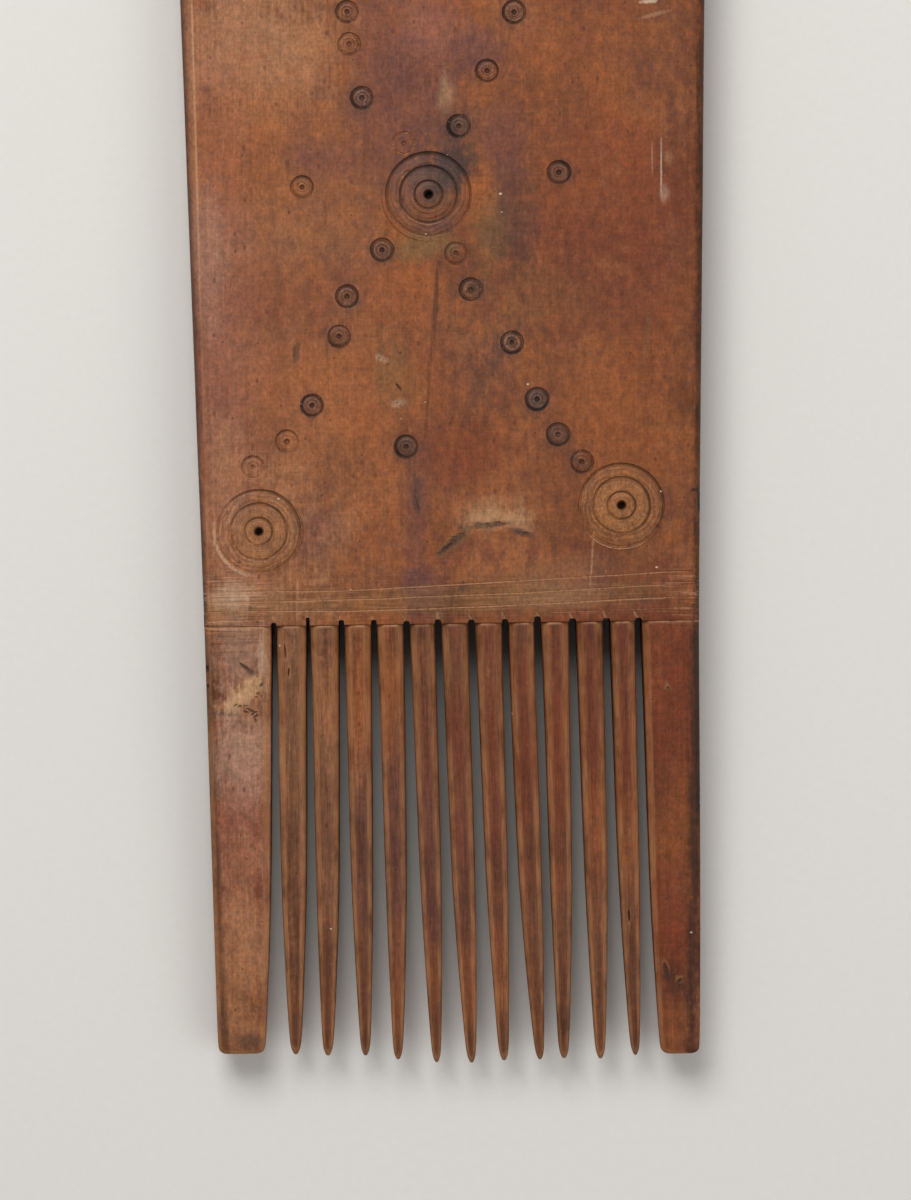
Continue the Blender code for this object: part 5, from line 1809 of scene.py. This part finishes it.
    def line_cutter(self) -> Workpiece:
        """Shapes the scribed guide lines: thin V cuts that waver and lift at their ends."""
        lines = []
        shuffle = random.Random(3)
        for line in GUIDE_LINES:
            face, inward = (self.high.z, -1.0) if line.front else (self.low.z, 1.0)
            start, end = line.places[0][0], line.places[-1][0]
            block = Workpiece.block("line", Vector((start * MM, -LINE_HALF, -LINE_HALF)),
                                    Vector((end * MM, LINE_HALF, LINE_HALF)))
            with block.held():
                block.select_all()
                bpy.ops.transform.rotate(value=math.radians(45), orient_axis="X",
                                         center_override=(0.0, 0.0, 0.0))
                stations = [start + (end - start) * part / LINE_PARTS for part in range(LINE_PARTS + 1)]
                for x in stations[1:-1]:
                    block.slice(Vector((x * MM, 0.0, 0.0)), ACROSS)
                for x in stations:
                    block.choose(Hold.CORNERS, at("x", x * MM))
                    lift = END_LIFT if x in (stations[0], stations[-1]) else shuffle.uniform(*LINE_LIFTS)
                    depth = line.depth * (1.0 - lift)
                    y = self.along_line(line, x) + shuffle.uniform(-LINE_WAVER, LINE_WAVER)
                    rise = face + inward * (depth * MM - LINE_HALF * math.sqrt(2.0))
                    block.slide((0.0, y * MM, rise))
            lines.append(block)
        return join(lines, "guide_lines")

    @staticmethod
    def along_line(line: ScribedLine, x: float) -> float:
        """Returns a scribed line's place along the comb, where it crosses x."""
        for (left, low), (right, high) in zip(line.places, line.places[1:]):
            if x <= right + ALIKE / MM:
                return low + (high - low) * (x - left) / (right - left)
        return line.places[-1][1]

    def on_line(self, point: Vector) -> bool:
        """Says whether a point on the front lies on a scribed line."""
        x, y = point.x / MM, point.y / MM
        return point.z > self.high.z / 2 and any(
            line.front and line.places[0][0] <= x <= line.places[-1][0]
            and abs(y - self.along_line(line, x)) < ON_LINE for line in GUIDE_LINES)

    def stamps(self, stamp: Stamp, motifs: Sequence[Motif], name: str) -> Workpiece:
        """Sets copies of one stamp at the motifs' places, each struck a little differently."""
        pattern = stamp.build()
        shuffle = random.Random(name)
        copies = []
        for index, motif in enumerate(motifs):
            piece = pattern.copy(name)
            with piece.held():
                piece.choose(Hold.CORNERS, lambda v: v.co.xy.length > stamp.true_within * MM)
                bpy.ops.transform.vertex_random(offset=STAMP_ROUGH, seed=index)
            tilt = LARGE_TILT if motif in LARGE_MOTIFS else SMALL_TILT
            piece.obj.rotation_euler = (*(math.radians(shuffle.uniform(-tilt, tilt)) for _ in range(2)),
                                        shuffle.uniform(0.0, math.tau))
            piece.obj.scale = (*(1.0 + shuffle.uniform(*sizes) for sizes in STAMP_SIZES), 1.0)
            lift = (1.0 - motif.depth) * STAMP_STROKE
            piece.obj.location = self.centre_of(motif) + Vector((0.0, 0.0, lift))
            copies.append(piece)
        pattern.discard()
        return join(copies, name)

    def paint(self, board: Workpiece) -> None:
        """Paints the soil and painted shade in the grooves, the pale cuts, the grounds of the stamps, and
        the worn edges and left arris, which are partly painted highlight.
        """
        mesh = board.obj.data
        stamps = [(self.centre_of(motif), reach, motif) for reach, motifs in
                  ((SMALL_REACH, SMALL_MOTIFS), (LARGE_REACH, LARGE_MOTIFS)) for motif in motifs]

        def stamp_at(point: Vector) -> tuple[Vector, Motif] | None:
            """Returns the centre and motif of the stamp that holds a point, if any."""
            for centre, radius, motif in stamps:
                if (point - centre).xy.length < radius:
                    return centre, motif
            return None

        dirt_and_shade, wear_and_highlight, fresh_and_highlight, radii = [], [], [], []
        for vertex in mesh.vertices:
            point = vertex.co
            edge = self.half_width(point.y) - abs(point.x)
            depth = min(self.high.z - point.z, point.z - self.low.z)
            from_root = min(point.y - self.low.y, self.high.y - point.y)
            front = point.z > self.high.z / 2
            stamp = stamp_at(point) if front else None
            soil, bare = 0.0, 0.0
            cut_edge = LINE_EDGE_BAND if self.on_line(point) else EDGE_BAND
            # Soil and painted shade: in a stamp's grooves by depth and side, in other hollows by depth.
            if edge > EDGE_BAND and stamp:
                soil = stamp[1].dirt_and_shade_at((point - stamp[0]).xy, depth)
            elif edge > cut_edge and CUT_ZONE[0] < from_root < CUT_ZONE[1]:
                bare = ease(depth, *BARE_DEPTHS)
            elif edge > EDGE_BAND and from_root > CUT_ZONE[1]:
                soil = HOLLOW_DIRT_AND_SHADE * ease(depth, *HOLLOW_DEPTHS)
            dirt_and_shade.append(soil)
            radii.append((point - stamp[0]).xy.length / MM + RING_SHIFT * stamp[1].across if stamp else 0.0)
            # Bare cuts, and the left bevel's upper arris painted pale: partly bare, partly painted
            # highlight.
            fresh_and_highlight.append(max(bare, self.bare_and_highlight_edge(point, edge) if front else 0.0))
            # Arrises painted pale on the front's left side only: partly worn, partly painted highlight on
            # the side the light comes from.
            off = abs(abs(vertex.normal.z) - WORN_AND_HIGHLIGHT_TILT)
            rub_and_highlight = edge < WORN_AND_HIGHLIGHT_BAND and (point.x < 0 or not front)
            wear_and_highlight.append(max(0.0, 1.0 - off / TILT_SPAN) if rub_and_highlight else 0.0)
        board.paint("dirt_and_shade", dirt_and_shade)
        board.paint("wear_and_highlight", wear_and_highlight)
        board.paint("fresh_and_highlight", fresh_and_highlight)
        board.paint("radius", radii)
        discs, stamped = [], []
        for face in mesh.polygons:
            stamp = None
            if self.high.z / 2 < face.center.z < self.high.z - GROUND_DEPTH:
                stamp = stamp_at(face.center)
            small = stamp is not None and stamp[1] in SMALL_MOTIFS
            discs.append(stamp[1].disc if small else 0.0)
            stamped.append(1.0 if small else 0.0)
        board.paint("disc", discs, "FACE")
        board.paint("stamped", stamped, "FACE")

    def bare_and_highlight_edge(self, point: Vector, edge: float) -> float:
        """Returns how pale the left bevel's upper arris is painted: partly bare wood worn by rubbing, partly
        painted highlight on the side the light comes from.
        """
        if point.x > 0:
            return 0.0
        share = (point.y - self.low.y) / (self.high.y - self.low.y)
        bevel = self.left_chamfers[0] + (self.left_chamfers[1] - self.left_chamfers[0]) * share
        swing = BARE_AND_LIT_SWING * noise.noise(Vector((0.0, point.y / MM * BARE_AND_LIT_RATE, 5.0)))
        patchy = BARE_AND_LIT_GAIN * ease(point.y, *BARE_AND_LIT_FROM) + swing
        return max(0.0, 1.0 - abs(edge - bevel) / BARE_AND_LIT_HALF) * min(1.0, max(0.0, patchy))


# The studio


# The soft lamps: their place from the view's centre, their size and their power.
LAMPS = {"key": ((-0.16, 0.42, 0.62), 0.42, 3.7), "fill": ((0.45, -0.25, 0.7), 0.6, 1.6)}


@dataclass
class Studio:
    """The plain studio: a pale floor, soft light and the camera over the comb."""

    view_centre: tuple[float, float] = (0.6 * MM, -56.85 * MM)
    view_height: float = 168 * MM
    turn: float = math.radians(-0.851)
    distance: float = 0.9
    sensor: float = 36.0
    sky: float = 0.3
    floor_size: float = 3.0
    floor_height: float = -0.02 * MM

    def build(self) -> None:
        """Builds the floor, the lights and the camera."""
        self.floor()
        for name, (offset, size, power) in LAMPS.items():
            self.light(name, Vector(offset), size, power)
        world = bpy.data.worlds.new("studio")
        world.use_nodes = True
        Wiring(world.node_tree).feed(world.node_tree.nodes["Background"],
                                     {"Color": (1.0, 1.0, 1.0, 1.0), "Strength": self.sky})
        bpy.context.scene.world = world
        self.camera()
        bpy.context.scene.view_settings.view_transform = "Standard"

    def floor(self) -> None:
        """Lays the pale floor."""
        clear_bench()
        bpy.ops.mesh.primitive_grid_add(x_subdivisions=8, y_subdivisions=8, size=self.floor_size,
                                        location=(0.0, 0.0, self.floor_height))
        floor = Workpiece(bpy.context.object, "floor")
        material = bpy.data.materials.new("pale_card")
        material.use_nodes = True
        wiring = Wiring(material.node_tree)
        fibre = wiring.cloud(wiring.place(), CARD_FIBRE)
        wiring.feed(material.node_tree.nodes["Principled BSDF"], {
            "Base Color": wiring.mix(fibre, tone(226, 223, 217), tone(232, 229, 223)), "Roughness": 0.9})
        floor.obj.data.materials.append(material)

    def light(self, name: str, offset: Vector, size: float, power: float) -> None:
        """Hangs a soft square lamp that faces the view's centre."""
        lamp = bpy.data.lights.new(name, "AREA")
        lamp.shape = "SQUARE"
        lamp.size = size
        lamp.energy = power
        obj = bpy.data.objects.new(name, lamp)
        bpy.context.scene.collection.objects.link(obj)
        obj.location = Vector((*self.view_centre, 0.0)) + offset
        obj.rotation_mode = "QUATERNION"
        obj.rotation_quaternion = (-offset).to_track_quat("-Z", "Y")

    def camera(self) -> None:
        """Sets the camera straight above the comb, turned as the comb lies in the picture."""
        data = bpy.data.cameras.new("camera")
        data.sensor_width = self.sensor
        data.lens = self.sensor * self.distance / self.view_height
        camera = bpy.data.objects.new("camera", data)
        bpy.context.scene.collection.objects.link(camera)
        camera.location = (*self.view_centre, CAD_BOX[1].z + self.distance)
        camera.rotation_euler = (0.0, 0.0, self.turn)
        bpy.context.scene.camera = camera


def main() -> None:
    """Builds the comb and its studio."""
    logging.basicConfig(level=logging.INFO, format="%(name)s: %(message)s")
    Studio().build()
    side = Chamfer(0.085, 0.075)
    coarse = ToothRow("coarse", 11, Chamfer(0.27, 0.09), (side, side), Chamfer(0.13, 0.09),
                      COARSE_OVERRUNS, COARSE_FLANKS, flare=0.35 * MM)
    fine = ToothRow("fine", 34, Chamfer(0.26, 0.09), (Chamfer(0.28, 0.18), Chamfer(0.15, 0.1)),
                    Chamfer(0.12, 0.07), FINE_OVERRUNS)
    panel = Panel(coarse, fine)
    shop = WoodShop([(panel.centre_of(motif), motif.disc) for motif in LARGE_MOTIFS],
                    [*panel.halos(), *panel.pale_nicks(), *panel.handled_and_shaded_edges()])
    panel_wood, guard_wood, tooth_wood = map(shop.make, (PANEL_WOOD, GUARD_WOOD, TOOTH_WOOD))
    coarse.build(guard_wood, tooth_wood)
    fine.build(guard_wood, tooth_wood)
    panel.build(panel_wood)


if __name__ == "__main__":
    main()
